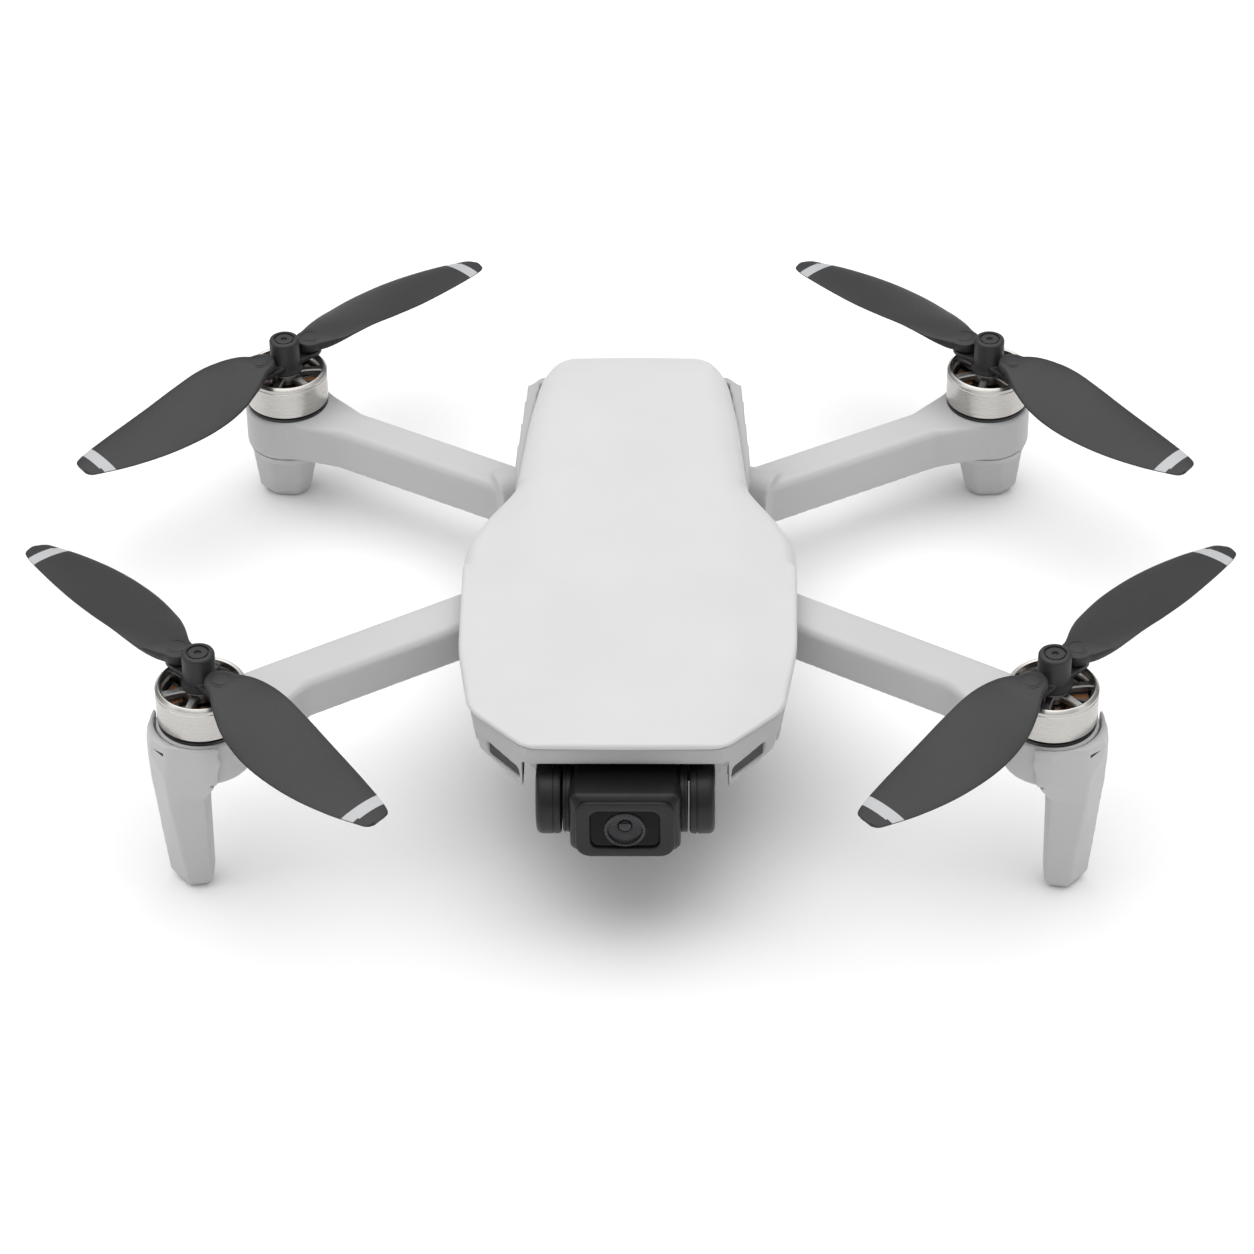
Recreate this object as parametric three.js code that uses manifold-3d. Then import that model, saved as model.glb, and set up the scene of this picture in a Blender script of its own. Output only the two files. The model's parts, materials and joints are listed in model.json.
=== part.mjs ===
// Folding camera quadcopter, unfolded and standing on its four legs.
// Millimetres, +Z up, nose towards -Y. The origin is on the ground, midway between the four rotor axes.
import * as THREE from 'three';
import { ConvexGeometry } from 'three/addons/geometries/ConvexGeometry.js';
import { mergeVertices } from 'three/addons/utils/BufferGeometryUtils.js';
import Module from 'manifold-3d';

const wasm = await Module();
wasm.setup();

// Driving dimensions.
const gap = 0.3; // between neighbouring pieces
const wall = 1.6; // shells
const frontRotor = { x: 85.1, y: -67.75, podTop: 38.6 };
const rearRotor = { x: 79.2, y: 67.75, podTop: 22.6 };

const bell = { radius: 9.2, wall: 1.1, height: 8, chamfer: 0.5, lift: 1, sides: 32 };
const spoke = { count: 6, width: 1.5, height: 1.2, belowBoss: 0.8 };
const shaftRadius = 0.9;
const boss = { radius: 3.4, bottom: 5.2, top: 7.6 };
const stator = { teeth: 9, radius: 7.5, neckRadius: 3.6, bottom: 0.6, top: 4.8, footRadius: 4.2 };
const hub = { radius: 3.3, height: 7.3, lugBottom: 8.9, lugTop: 10.1, lugRadius: 2.6 };
const bladePivot = { radius: 7.2, pin: 1.2, bore: 1.5, rootRadius: 3.4, rootHeight: 2.5 };
const bladeReach = 58.5; // from the rotor axis to the blade tip

const frontArm = { hingeX: 28.5, hingeY: -27.2, width: 11, height: 8.9, reach: 52, angle: -31.9 };
const rearArm = { hingeX: 26.5, hingeY: 37.5, hingeZ: 19, width: 10.1, height: 9.8, axisAngle: -22.4 };
const podRadius = bell.radius + 0.5;
const podHeight = 10;
const flare = { front: 6, rear: 17 }; // length over which each arm widens
const knuckleRadius = 5.6;
const pinRadius = 1.6;
const pinBore = pinRadius + gap;
const barrel = { radius: 5.2, half: 4.8, cap: 1.2 };
const armChamfer = 1.2;
const neckRadius = podRadius - 0.4; // where an arm flares out to its pod
const neckInset = 0.6;

const deckTop = 47; // height of the flat top of the cover
const seamHeight = 43.3; // lower rim of the cover along the shoulders
const noseSeam = 46; // lower rim of the cover at the nose
const skirtBottom = 39.2; // lower rim of the cover behind the front arms
const railTop = 42;
const shoulder = 34.6; // widest half width
const frameBottom = 26.5;
const bellyBottom = 13;
const noseBottom = 41.2; // lower edge of the nose band above the camera
const cheekBottom = 33;

const camera = { halfWidth: 11, front: -92.6, back: -78.6, bottom: 24, top: 38.4 };
const tiltAxis = { y: -83.1, z: 31.2 };
const drumInner = camera.halfWidth + 1.7;
const drum = { inner: drumInner, outer: drumInner + 5.1, radius: 7.5 };
const yawY = -74;
const bayHalfWidth = drum.outer + 2.5;
const bay = { halfWidth: bayHalfWidth, back: -62.3, ceilingHalfWidth: bayHalfWidth - 2.7, front: -84.4 };
const noseHalfWidth = bayHalfWidth - 0.7;

// Finishes.
const finishes = {
  coverPlastic: [0xe4e4e4, 0.62, 0],
  framePlastic: [0xcfcfcf, 0.6, 0],
  armPlastic: [0xd2d2d2, 0.55, 0],
  propPlastic: [0x3c3c3e, 0.45, 0],
  bellMetal: [0xb4b0aa, 0.32, 1],
  statorSteel: [0x8a4a20, 0.5, 0.6],
  pinSteel: [0x9a9a9c, 0.35, 1],
  gimbalBlack: [0x1e1e20, 0.45, 0],
  glass: [0x0c0e14, 0.05, 0],
  boardGreen: [0x1d4a34, 0.6, 0],
  batteryGrey: [0x55585c, 0.6, 0],
  aluminium: [0x9da0a3, 0.4, 1],
  darkPlastic: [0x202022, 0.6, 0],
  lamp: [0xb8d0b0, 0.3, 0],
};

const drone = new THREE.Group();

function finish(name) {
  const [color, roughness, metalness] = finishes[name];
  return new THREE.MeshStandardMaterial({ color, roughness, metalness });
}

// Closed-solid helpers.
function signedVolume(positions, index) {
  const a = new THREE.Vector3();
  const b = new THREE.Vector3();
  const c = new THREE.Vector3();
  let volume = 0;
  for (let i = 0; i < index.length; i += 3) {
    a.fromArray(positions, index[i] * 3);
    b.fromArray(positions, index[i + 1] * 3);
    c.fromArray(positions, index[i + 2] * 3);
    volume += a.dot(b.cross(c)) / 6;
  }
  return volume;
}

function flipWinding(index) {
  for (let i = 0; i < index.length; i += 3) {
    [index[i + 1], index[i + 2]] = [index[i + 2], index[i + 1]];
  }
}

function solid(geometry) {
  const bare = geometry.clone();
  bare.deleteAttribute('normal');
  bare.deleteAttribute('uv');
  const merged = mergeVertices(bare, 1e-4);
  const vertProperties = new Float32Array(merged.attributes.position.array);
  const triVerts = new Uint32Array(merged.index.array);
  if (signedVolume(vertProperties, triVerts) < 0) {
    flipWinding(triVerts);
  }
  return new wasm.Manifold(new wasm.Mesh({ numProp: 3, vertProperties, triVerts }));
}

function union(geometries) {
  return geometries.map(solid).reduce((whole, next) => whole.add(next));
}

function cut(body, geometries) {
  return geometries.map(solid).reduce((left, tool) => left.subtract(tool), body);
}

function surface(body) {
  const { vertProperties, triVerts } = body.getMesh();
  const geometry = new THREE.BufferGeometry();
  geometry.setAttribute('position', new THREE.BufferAttribute(new Float32Array(vertProperties), 3));
  geometry.setIndex(new THREE.BufferAttribute(new Uint32Array(triVerts), 1));
  geometry.computeVertexNormals();
  return geometry;
}

function mirrored(geometry) {
  const copy = geometry.clone();
  copy.scale(-1, 1, 1);
  flipWinding(copy.index.array);
  copy.computeVertexNormals();
  return copy;
}

// Shape helpers.
function plate(points, bottom, top) {
  const shape = new THREE.Shape(points.map(([x, y]) => new THREE.Vector2(x, y)));
  const geometry = new THREE.ExtrudeGeometry(shape, { depth: top - bottom, bevelEnabled: false });
  return geometry.translate(0, 0, bottom);
}

function block(low, high) {
  const size = high.map((value, i) => value - low[i]);
  const centre = high.map((value, i) => (value + low[i]) / 2);
  return new THREE.BoxGeometry(...size).translate(...centre);
}

function rod(radius, bottom, top, x = 0, y = 0, sides = 20) {
  const geometry = new THREE.CylinderGeometry(radius, radius, top - bottom, sides);
  return geometry.rotateX(Math.PI / 2).translate(x, y, (top + bottom) / 2);
}

function rodBetween(start, end, radius, sides = 20) {
  const from = new THREE.Vector3(...start);
  const to = new THREE.Vector3(...end);
  const along = to.clone().sub(from);
  const geometry = new THREE.CylinderGeometry(radius, radius, along.length(), sides);
  const upright = new THREE.Vector3(0, 1, 0);
  const turn = new THREE.Quaternion().setFromUnitVectors(upright, along.clone().normalize());
  const middle = from.add(to).multiplyScalar(0.5);
  return geometry.applyQuaternion(turn).translate(middle.x, middle.y, middle.z);
}

function hull(points) {
  return new ConvexGeometry(points.map((point) => new THREE.Vector3(...point)));
}

function bothSides(points) {
  return points.flatMap(([x, y, z]) => [[x, y, z], [-x, y, z]]);
}

function spun(profile, sides) {
  const points = profile.map(([radius, height]) => new THREE.Vector2(radius, height));
  return new THREE.LatheGeometry(points, sides).rotateX(Math.PI / 2);
}

// Closed skin through sections that all have the same number of corners.
function loft(sections) {
  const corners = sections[0].length;
  const index = [];
  for (let i = 0; i + 1 < sections.length; i += 1) {
    for (let j = 0; j < corners; j += 1) {
      const here = i * corners + j;
      const beside = i * corners + ((j + 1) % corners);
      index.push(here, beside, here + corners, beside, beside + corners, here + corners);
    }
  }
  const last = (sections.length - 1) * corners;
  for (let j = 1; j + 1 < corners; j += 1) {
    index.push(0, j + 1, j, last, last + j, last + j + 1);
  }
  const geometry = new THREE.BufferGeometry();
  geometry.setAttribute('position', new THREE.Float32BufferAttribute(sections.flat(2), 3));
  geometry.setIndex(index);
  return geometry;
}

function addMesh(name, geometry, finishName, parent = drone) {
  const mesh = new THREE.Mesh(geometry, finish(finishName));
  mesh.name = name;
  parent.add(mesh);
  return mesh;
}

function addPair(name, body, finishName) {
  const right = surface(body);
  addMesh(`right_${name}`, right, finishName);
  addMesh(`left_${name}`, mirrored(right), finishName);
}

function radians(degrees) {
  return THREE.MathUtils.degToRad(degrees);
}

function direction(degrees) {
  return [Math.cos(radians(degrees)), Math.sin(radians(degrees))];
}

// Front arm: a level beam on a vertical pin, with a round motor pod at its outer end.
const [frontDx, frontDy] = direction(frontArm.angle);
const frontArmBottom = frontRotor.podTop - frontArm.height;

function beamSection(x, y, dx, dy, width, bottom, top) {
  const half = width / 2;
  const inset = half - armChamfer;
  const across = [
    [-half, bottom],
    [half, bottom],
    [half, top - armChamfer],
    [inset, top],
    [-inset, top],
    [-half, top - armChamfer],
  ];
  return across.map(([offset, z]) => [x - dy * offset, y + dx * offset, z]);
}

function frontPoint(along, across = 0) {
  const x = frontArm.hingeX + frontDx * along - frontDy * across;
  const y = frontArm.hingeY + frontDy * along + frontDx * across;
  return [x, y];
}

function circlePoints(x, y, radius, z, sides) {
  return Array.from({ length: sides }, (_, i) => {
    const [dx, dy] = direction((360 * i) / sides);
    return [x + radius * dx, y + radius * dy, z];
  });
}

function frontArmSolid() {
  const { hingeX, hingeY, width, reach } = frontArm;
  const top = frontRotor.podTop;
  const section = (along) => {
    const [x, y] = frontPoint(along);
    return beamSection(x, y, frontDx, frontDy, width, frontArmBottom, top);
  };
  const root = circlePoints(hingeX, hingeY, knuckleRadius, frontArmBottom, 24);
  const rootTop = circlePoints(hingeX, hingeY, knuckleRadius, top, 24);
  const podFoot = top - podHeight;
  const pod = rod(podRadius, podFoot, top, frontRotor.x, frontRotor.y, bell.sides);
  const neck = circlePoints(frontRotor.x, frontRotor.y, neckRadius, frontArmBottom, bell.sides);
  const neckTop = circlePoints(frontRotor.x, frontRotor.y, neckRadius, top - neckInset, bell.sides);
  const arm = union([
    hull([...root, ...rootTop]),
    hull([...section(0), ...section(reach)]),
    hull([...section(reach - flare.front), ...neck, ...neckTop]),
    pod,
  ]);
  return cut(arm, [rod(pinBore, frontArmBottom - 1, top + 1, hingeX, hingeY)]);
}

// Front leg: a fin under the outer front of the pod, with a shoulder that wraps the pod.
// Its outlines are offsets from the rotor axis for a pod of the drawn radius.
const drawnPodRadius = 9.7;
const legOutlines = {
  shoulderTop: [[10.8, 3.4], [11.5, -2.4], [10.5, -6.8], [6.9, -10], [-0.6, -11], [-4.4, -10.4]],
  shoulderFoot: [[10.5, 2.2], [11.4, -3], [7.4, -9.8], [0, -10.6], [-3.6, -10.2]],
  finTop: [[11.2, -2.8], [7.2, -9.6], [-0.2, -8.7], [-0.6, -1], [8.8, 1.2]],
  finFoot: [[9, -3.4], [4.8, -8.2], [-0.2, -7.4], [-0.2, -1.4], [7.2, -0.4]],
  footPad: [[7.6, -3.4], [4.4, -6.9], [1, -6.2], [1, -2.2], [6.4, -1.4]],
};
const legHeights = { edgeBelowTop: 3.2, webRise: 1.4, finDrop: 4, lap: 0.6, padEdge: 2 };
const shoulderTaper = 0.97;

function frontLegSolid() {
  const { x, y, podTop } = frontRotor;
  const { edgeBelowTop, webRise, finDrop, lap, padEdge } = legHeights;
  const podFoot = podTop - podHeight;
  const spread = podRadius / drawnPodRadius;
  const at = (name, z, taper = 1) => legOutlines[name].map(
    ([dx, dy]) => [x + dx * spread * taper, y + dy * spread * taper, z],
  );
  const leg = union([
    hull([
      ...at('shoulderTop', podTop - edgeBelowTop),
      ...at('shoulderTop', podTop, shoulderTaper),
      ...at('shoulderFoot', podFoot + webRise),
    ]),
    hull([...at('shoulderFoot', podFoot + webRise), ...at('finTop', podFoot - finDrop)]),
    hull([...at('finTop', podFoot - finDrop + lap), ...at('finFoot', padEdge), ...at('footPad', 0)]),
  ]);
  return cut(leg, [rod(podRadius + gap, podFoot - gap, podTop + 1, x, y, bell.sides)]);
}

// Rear arm: a level beam on a level, slanted pin, so that it turns over as it folds forward.
const [axisX, axisY] = direction(rearArm.axisAngle);
const rearSpanX = rearRotor.x - rearArm.hingeX;
const rearSpanY = rearRotor.y - rearArm.hingeY;
const rearLength = Math.hypot(rearSpanX, rearSpanY);
const rearDx = rearSpanX / rearLength;
const rearDy = rearSpanY / rearLength;
const rearTop = rearRotor.podTop - 0.2;
const rearBottom = rearTop - rearArm.height;

function alongAxis(distance) {
  return [rearArm.hingeX + axisX * distance, rearArm.hingeY + axisY * distance, rearArm.hingeZ];
}

function rearArmSolid() {
  const { hingeX, hingeY, width } = rearArm;
  const section = (along) => {
    const x = hingeX + rearDx * along;
    const y = hingeY + rearDy * along;
    return beamSection(x, y, rearDx, rearDy, width, rearBottom, rearTop);
  };
  const { x: podX, y: podY, podTop } = rearRotor;
  const podFoot = podTop - podHeight;
  const neck = circlePoints(podX, podY, neckRadius, podFoot + neckInset, bell.sides);
  const neckTop = circlePoints(podX, podY, neckRadius, podTop - neckInset, bell.sides);
  const arm = union([
    rodBetween(alongAxis(-barrel.half), alongAxis(barrel.half), barrel.radius, 24),
    hull([...section(0), ...section(rearLength - 4)]),
    hull([...section(rearLength - flare.rear), ...neck, ...neckTop]),
    rod(podRadius, podFoot, rearRotor.podTop, rearRotor.x, rearRotor.y, bell.sides),
  ]);
  return cut(arm, [rodBetween(alongAxis(-barrel.half - 1), alongAxis(barrel.half - barrel.cap), pinBore)]);
}

// Rear foot: a short tapered block capping the underside of the rear pod.
function rearFootSolid() {
  const { x, y, podTop } = rearRotor;
  const top = podTop - podHeight - gap;
  const ring = circlePoints(x, y, podRadius - 0.3, top, bell.sides);
  const seat = circlePoints(x, y, podRadius - 0.9, top - 1.6, bell.sides);
  const footTop = [[-8.2, -4.4], [-4, -7.6], [3, -8], [6.4, -5.4], [6.4, 4], [-7.6, 5]];
  const footLow = [[-7.2, -3.6], [-3.8, -6.4], [1.8, -6.8], [4.4, -4.6], [4.4, 2.4], [-6.6, 3.4]];
  const pad = [[-5.8, -3], [-3.2, -5.2], [1.2, -5.6], [3.2, -4], [3.2, 1.4], [-5.2, 2.4]];
  const at = (outline, z) => outline.map(([dx, dy]) => [x - dx, y + dy, z]);
  return union([
    hull([...ring, ...seat]),
    hull([...at(footTop, top - 1), ...at(footLow, 1.8), ...at(pad, 0)]),
  ]);
}

// Rotor: bell with shaft, stator, blade hub and two folding blades.
// Heights are above the bell's lower rim.
function bellSolid() {
  const { radius, height, chamfer, sides } = bell;
  const inner = radius - bell.wall;
  const ring = spun([
    [inner, 0], [radius, 0], [radius, height - chamfer],
    [radius - chamfer, height], [inner, height], [inner, 0],
  ], sides);
  const spokeTop = boss.top - spoke.belowBoss;
  const arms = Array.from({ length: spoke.count }, (_, i) => {
    const low = [boss.radius - 1, -spoke.width / 2, spokeTop - spoke.height];
    return block(low, [inner + 0.4, spoke.width / 2, spokeTop]).rotateZ((2 * Math.PI * i) / spoke.count);
  });
  const shaft = rod(shaftRadius, gap, boss.bottom + 1);
  return union([ring, ...arms, rod(boss.radius, boss.bottom, boss.top), shaft]);
}

function statorSolid() {
  const { teeth, radius, neckRadius, bottom, top, footRadius } = stator;
  const outline = [];
  const pitch = 360 / teeth;
  // Corners of one tooth and the slot after it, as shares of the pitch.
  const tooth = [[-0.42, radius], [0.42, radius], [0.26, neckRadius], [0.82, neckRadius]];
  for (let i = 0; i < teeth; i += 1) {
    for (const [turn, reach] of tooth) {
      const [dx, dy] = direction((i + turn) * pitch);
      outline.push([dx * reach, dy * reach]);
    }
  }
  const core = union([plate(outline, bottom, top), rod(footRadius, gap - bell.lift, bottom + 0.2)]);
  return cut(core, [rod(shaftRadius + gap, gap - 0.1, top + 1)]);
}

function hubSolid() {
  const { radius, height, lugBottom, lugTop, lugRadius } = hub;
  const lugs = [-1, 1].flatMap((side) => [
    ...circlePoints(side * bladePivot.radius, 0, lugRadius, lugBottom, 16),
    ...circlePoints(side * bladePivot.radius, 0, lugRadius, lugTop, 16),
  ]);
  const pins = [-1, 1].map((side) => {
    const pinTop = lugTop + bladePivot.rootHeight - gap;
    return rod(bladePivot.pin, lugTop - 0.2, pinTop, side * bladePivot.radius, 0, 16);
  });
  return union([rod(radius, boss.top + gap, bell.height + height, 0, 0, 24), hull(lugs), ...pins]);
}

// Blade stations: distance from the rotor axis as a share of the reach, leading and trailing edge, then
// the middle's height above the root's, rise of the leading edge, drop of the trailing edge, thickness.
const bladeStations = [
  [0.16, 4.6, -4.6, 0.2, 0.7, 0.7, 1.5],
  [0.23, 5.7, -6.9, 0, 1.4, 1.3, 1.3],
  [0.33, 6.2, -8.9, -0.3, 1.7, 1.8, 1.1],
  [0.46, 5.9, -10.1, -0.9, 1.3, 1.8, 1],
  [0.6, 5.1, -10.2, -1.4, 0.7, 1.5, 0.9],
  [0.74, 4.1, -9.1, -1.9, 0.4, 1.1, 0.8],
  [0.87, 2.9, -6.8, -2.3, 0.2, 0.8, 0.7],
  [0.95, 1.8, -4.9, -2.5, 0.1, 0.6, 0.7],
  [1, 0, -2.8, -2.6, 0, 0.2, 0.7],
];

function bladeSolid() {
  const rootBottom = hub.lugTop + gap;
  const rootTop = rootBottom + bladePivot.rootHeight;
  const middle = (rootBottom + rootTop) / 2;
  const sections = bladeStations.map(([share, lead, trail, rise, up, down, thickness]) => {
    const x = share * bladeReach - bladePivot.radius;
    const z = middle + rise;
    return [
      [x, lead, z + up - thickness / 4],
      [x, lead, z + up + thickness / 4],
      [x, (lead + trail) / 2, z + thickness / 2],
      [x, trail, z - down + thickness / 4],
      [x, trail, z - down - thickness / 4],
      [x, (lead + trail) / 2, z - thickness / 2],
    ];
  });
  const [first] = sections;
  const root = circlePoints(0, 0, bladePivot.rootRadius, rootBottom, 24);
  const rootUp = circlePoints(0, 0, bladePivot.rootRadius, rootTop, 24);
  const blade = union([hull([...root, ...rootUp]), hull([...root, ...rootUp, ...first]), loft(sections)]);
  return cut(blade, [rod(bladePivot.bore, rootBottom - 1, rootTop - gap, 0, 0, 16)]);
}

const bellShape = surface(bellSolid());
const statorShape = surface(statorSolid());
const hubShape = surface(hubSolid());
const leftHandBlade = surface(bladeSolid());
const rightHandBlade = leftHandBlade.clone().scale(1, -1, 1);
flipWinding(rightHandBlade.index.array);
rightHandBlade.computeVertexNormals();

function addRotor(corner, x, y, podTop, bladeAngle, bladeShape) {
  const rotor = new THREE.Group();
  rotor.position.set(x, y, podTop + bell.lift);
  drone.add(rotor);
  addMesh(`${corner}_stator`, statorShape, 'statorSteel', rotor);
  addMesh(`${corner}_bell`, bellShape, 'bellMetal', rotor);
  const propeller = new THREE.Group();
  propeller.rotation.z = radians(bladeAngle);
  rotor.add(propeller);
  addMesh(`${corner}_prop_hub`, hubShape, 'propPlastic', propeller);
  for (const [suffix, turn] of [['a', 0], ['b', Math.PI]]) {
    const blade = addMesh(`${corner}_blade_${suffix}`, bladeShape, 'propPlastic', propeller);
    blade.rotation.z = turn;
    blade.position.set(bladePivot.radius * Math.cos(turn), bladePivot.radius * Math.sin(turn), 0);
  }
}

addPair('front_arm', frontArmSolid(), 'armPlastic');
addPair('front_leg', frontLegSolid(), 'armPlastic');
addPair('rear_arm', rearArmSolid(), 'armPlastic');
addPair('rear_foot', rearFootSolid(), 'armPlastic');

addRotor('front_right', frontRotor.x, frontRotor.y, frontRotor.podTop, 47.5, rightHandBlade);
addRotor('front_left', -frontRotor.x, frontRotor.y, frontRotor.podTop, -47.5, leftHandBlade);
addRotor('rear_right', rearRotor.x, rearRotor.y, rearRotor.podTop, -43.5, leftHandBlade);
addRotor('rear_left', -rearRotor.x, rearRotor.y, rearRotor.podTop, -136.5, rightHandBlade);

// Cover: the flat deck, its sloping shoulders and the narrow tail.
function coverHulls(inset) {
  const top = deckTop - inset * 0.8;
  const drop = inset > 0 ? 2 : -inset;
  const nose = hull(bothSides([
    [noseHalfWidth - inset * 0.6, -84.9 + inset, noseSeam - drop],
    [30.4 - inset, -70.9 + inset * 0.5, noseSeam - 1.9 - drop],
    [19.3 - inset * 0.6, -84.2 + inset, top - 0.5], [19 - inset * 0.6, -83 + inset, top],
    [30.2 - inset, -70.6 + inset * 0.5, 44.9 - inset * 0.8], [33.4 - inset, -52, 44.2 - inset * 0.8],
    [shoulder - inset, -27, 44 - inset * 0.8], [shoulder - inset, -17, 44 - inset * 0.8],
    [31.8 - inset, -8.4 - inset * 0.5, 44 - inset * 0.8], [33.6 - inset, -52, seamHeight - drop],
    [31.4 - inset, -66, seamHeight - drop], [shoulder - inset, -30, seamHeight - drop],
    [shoulder - inset, -16.6, seamHeight - drop], [31.8 - inset, -8 - inset * 0.5, seamHeight - drop],
    [24.2 - inset, 4.4 - inset * 0.4, 44 - inset * 0.8], [24.2 - inset, 4.4 - inset * 0.4, seamHeight - drop],
    [21.2 - inset * 0.5, -74, top], [21.2 - inset * 0.5, -6, top], [20.8 - inset * 0.5, 4 - inset, top],
  ]));
  const tailRim = railTop + gap - drop;
  const tail = hull(bothSides([
    [21.2 - inset * 0.5, -20, top], [20.4 - inset * 0.5, 20, top],
    [18.2 - inset * 0.6, 46 - inset, top - 0.2],
    [14.4 - inset * 0.5, 51 - inset, top - 0.9],
    [24.2 - inset, -20, 44.6 - inset * 0.6], [24.1 - inset, 8, 45 - inset * 0.6],
    [22.9 - inset, 28, 45 - inset * 0.6], [20.5 - inset, 45 - inset * 0.5, 45 - inset * 0.6],
    [16.6 - inset * 0.7, 52.4 - inset, 45 - inset * 0.6],
    [24.2 - inset, -20, tailRim], [24.1 - inset, 8, tailRim], [22.9 - inset, 28, tailRim],
    [20.6 - inset, 45 - inset * 0.5, tailRim], [16.6 - inset * 0.7, 52.8 - inset, tailRim],
  ]));
  return [nose, tail];
}

function skirt(inset) {
  const bottom = skirtBottom + Math.min(inset, 0);
  return hull(bothSides([
    [shoulder - inset, -23.4 + inset, seamHeight + 0.4], [shoulder - inset, -16.6, seamHeight + 0.4],
    [31.8 - inset, -8 - inset * 0.4, seamHeight + 0.4], [24.2 - inset, 4.4 - inset, seamHeight + 0.4],
    [shoulder - inset, -23.4 + inset, bottom], [shoulder - inset, -16.6, bottom],
    [31.8 - inset, -8 - inset * 0.4, bottom], [24.2 - inset, 4.4 - inset, bottom],
  ]));
}

// Body. The middle frame carries the nose, the side walls and the arm hinges.
const rearEnd = 48.6;
const slotBottom = frontArmBottom - gap;
const slotTop = frontRotor.podTop + gap;
const frontPinTop = 41.6;

const statusLamp = { halfWidth: 4, z: 36.4, height: 1.6 };
const socket = { x: 7, z: 30.6, halfWidth: 4.6, height: 2.6 };
const battery = { halfWidth: 14.6, front: -30, back: 44.6, bottom: 15, top: 25.4 };
const doorSize = { halfWidth: 15.6, thickness: 1.6, bottom: 16.4, top: 26.2 };
const doorHinge = { y: rearEnd + 1, z: 14.3, radius: 1.3, pin: 0.6, half: 8, pinHalf: 12, lugHalf: 1.6 };
const button = { radius: 3, y: -38, travel: 0.6, height: 1.8 };
const vision = { halfWidth: 9, front: -56, back: -44, height: 4 };

// Recesses in the cheeks, each with its own grille.
function intakePoints(side, inset, depth) {
  const [frontX, frontY] = [noseHalfWidth + 2, -83.4];
  const [backX, backY] = [29.2, -73.2];
  const along = [backX - frontX, backY - frontY];
  const length = Math.hypot(...along);
  const [ux, uy] = along.map((value) => value / length);
  const at = (distance, out, z) => [
    side * (frontX + ux * distance + uy * out), frontY + uy * distance - ux * out, z,
  ];
  const [near, far] = [0.6 + inset, length - 1 - inset];
  return [-depth, 4].flatMap((out) => [
    at(near, out, cheekBottom + 2 + inset), at(far, out, cheekBottom + 1.1 + inset),
    at(near, out, cheekBottom + 4.9 - inset), at(far, out, cheekBottom + 4.7 - inset),
  ]);
}

function intakes() {
  return [1, -1].map((side) => hull(intakePoints(side, 0, 3)));
}

function noseOutline(inset) {
  const tip = [noseHalfWidth - inset * 0.4, -86.2 + inset];
  return [tip, [31 - inset, -71.4 + inset * 0.4], [33.4 - inset, -52]];
}

function framePoints() {
  const nose = noseOutline(0);
  const noseFoot = noseOutline(1.6);
  const rim = (y) => (y < -80 ? noseSeam : seamHeight + Math.max(0, -66 - y) * 0.1) - gap;
  return {
    noseTop: nose.map(([x, y]) => [x, y, rim(y)]),
    noseFoot: noseFoot.map(([x, y]) => [x, y, cheekBottom]),
  };
}

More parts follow.
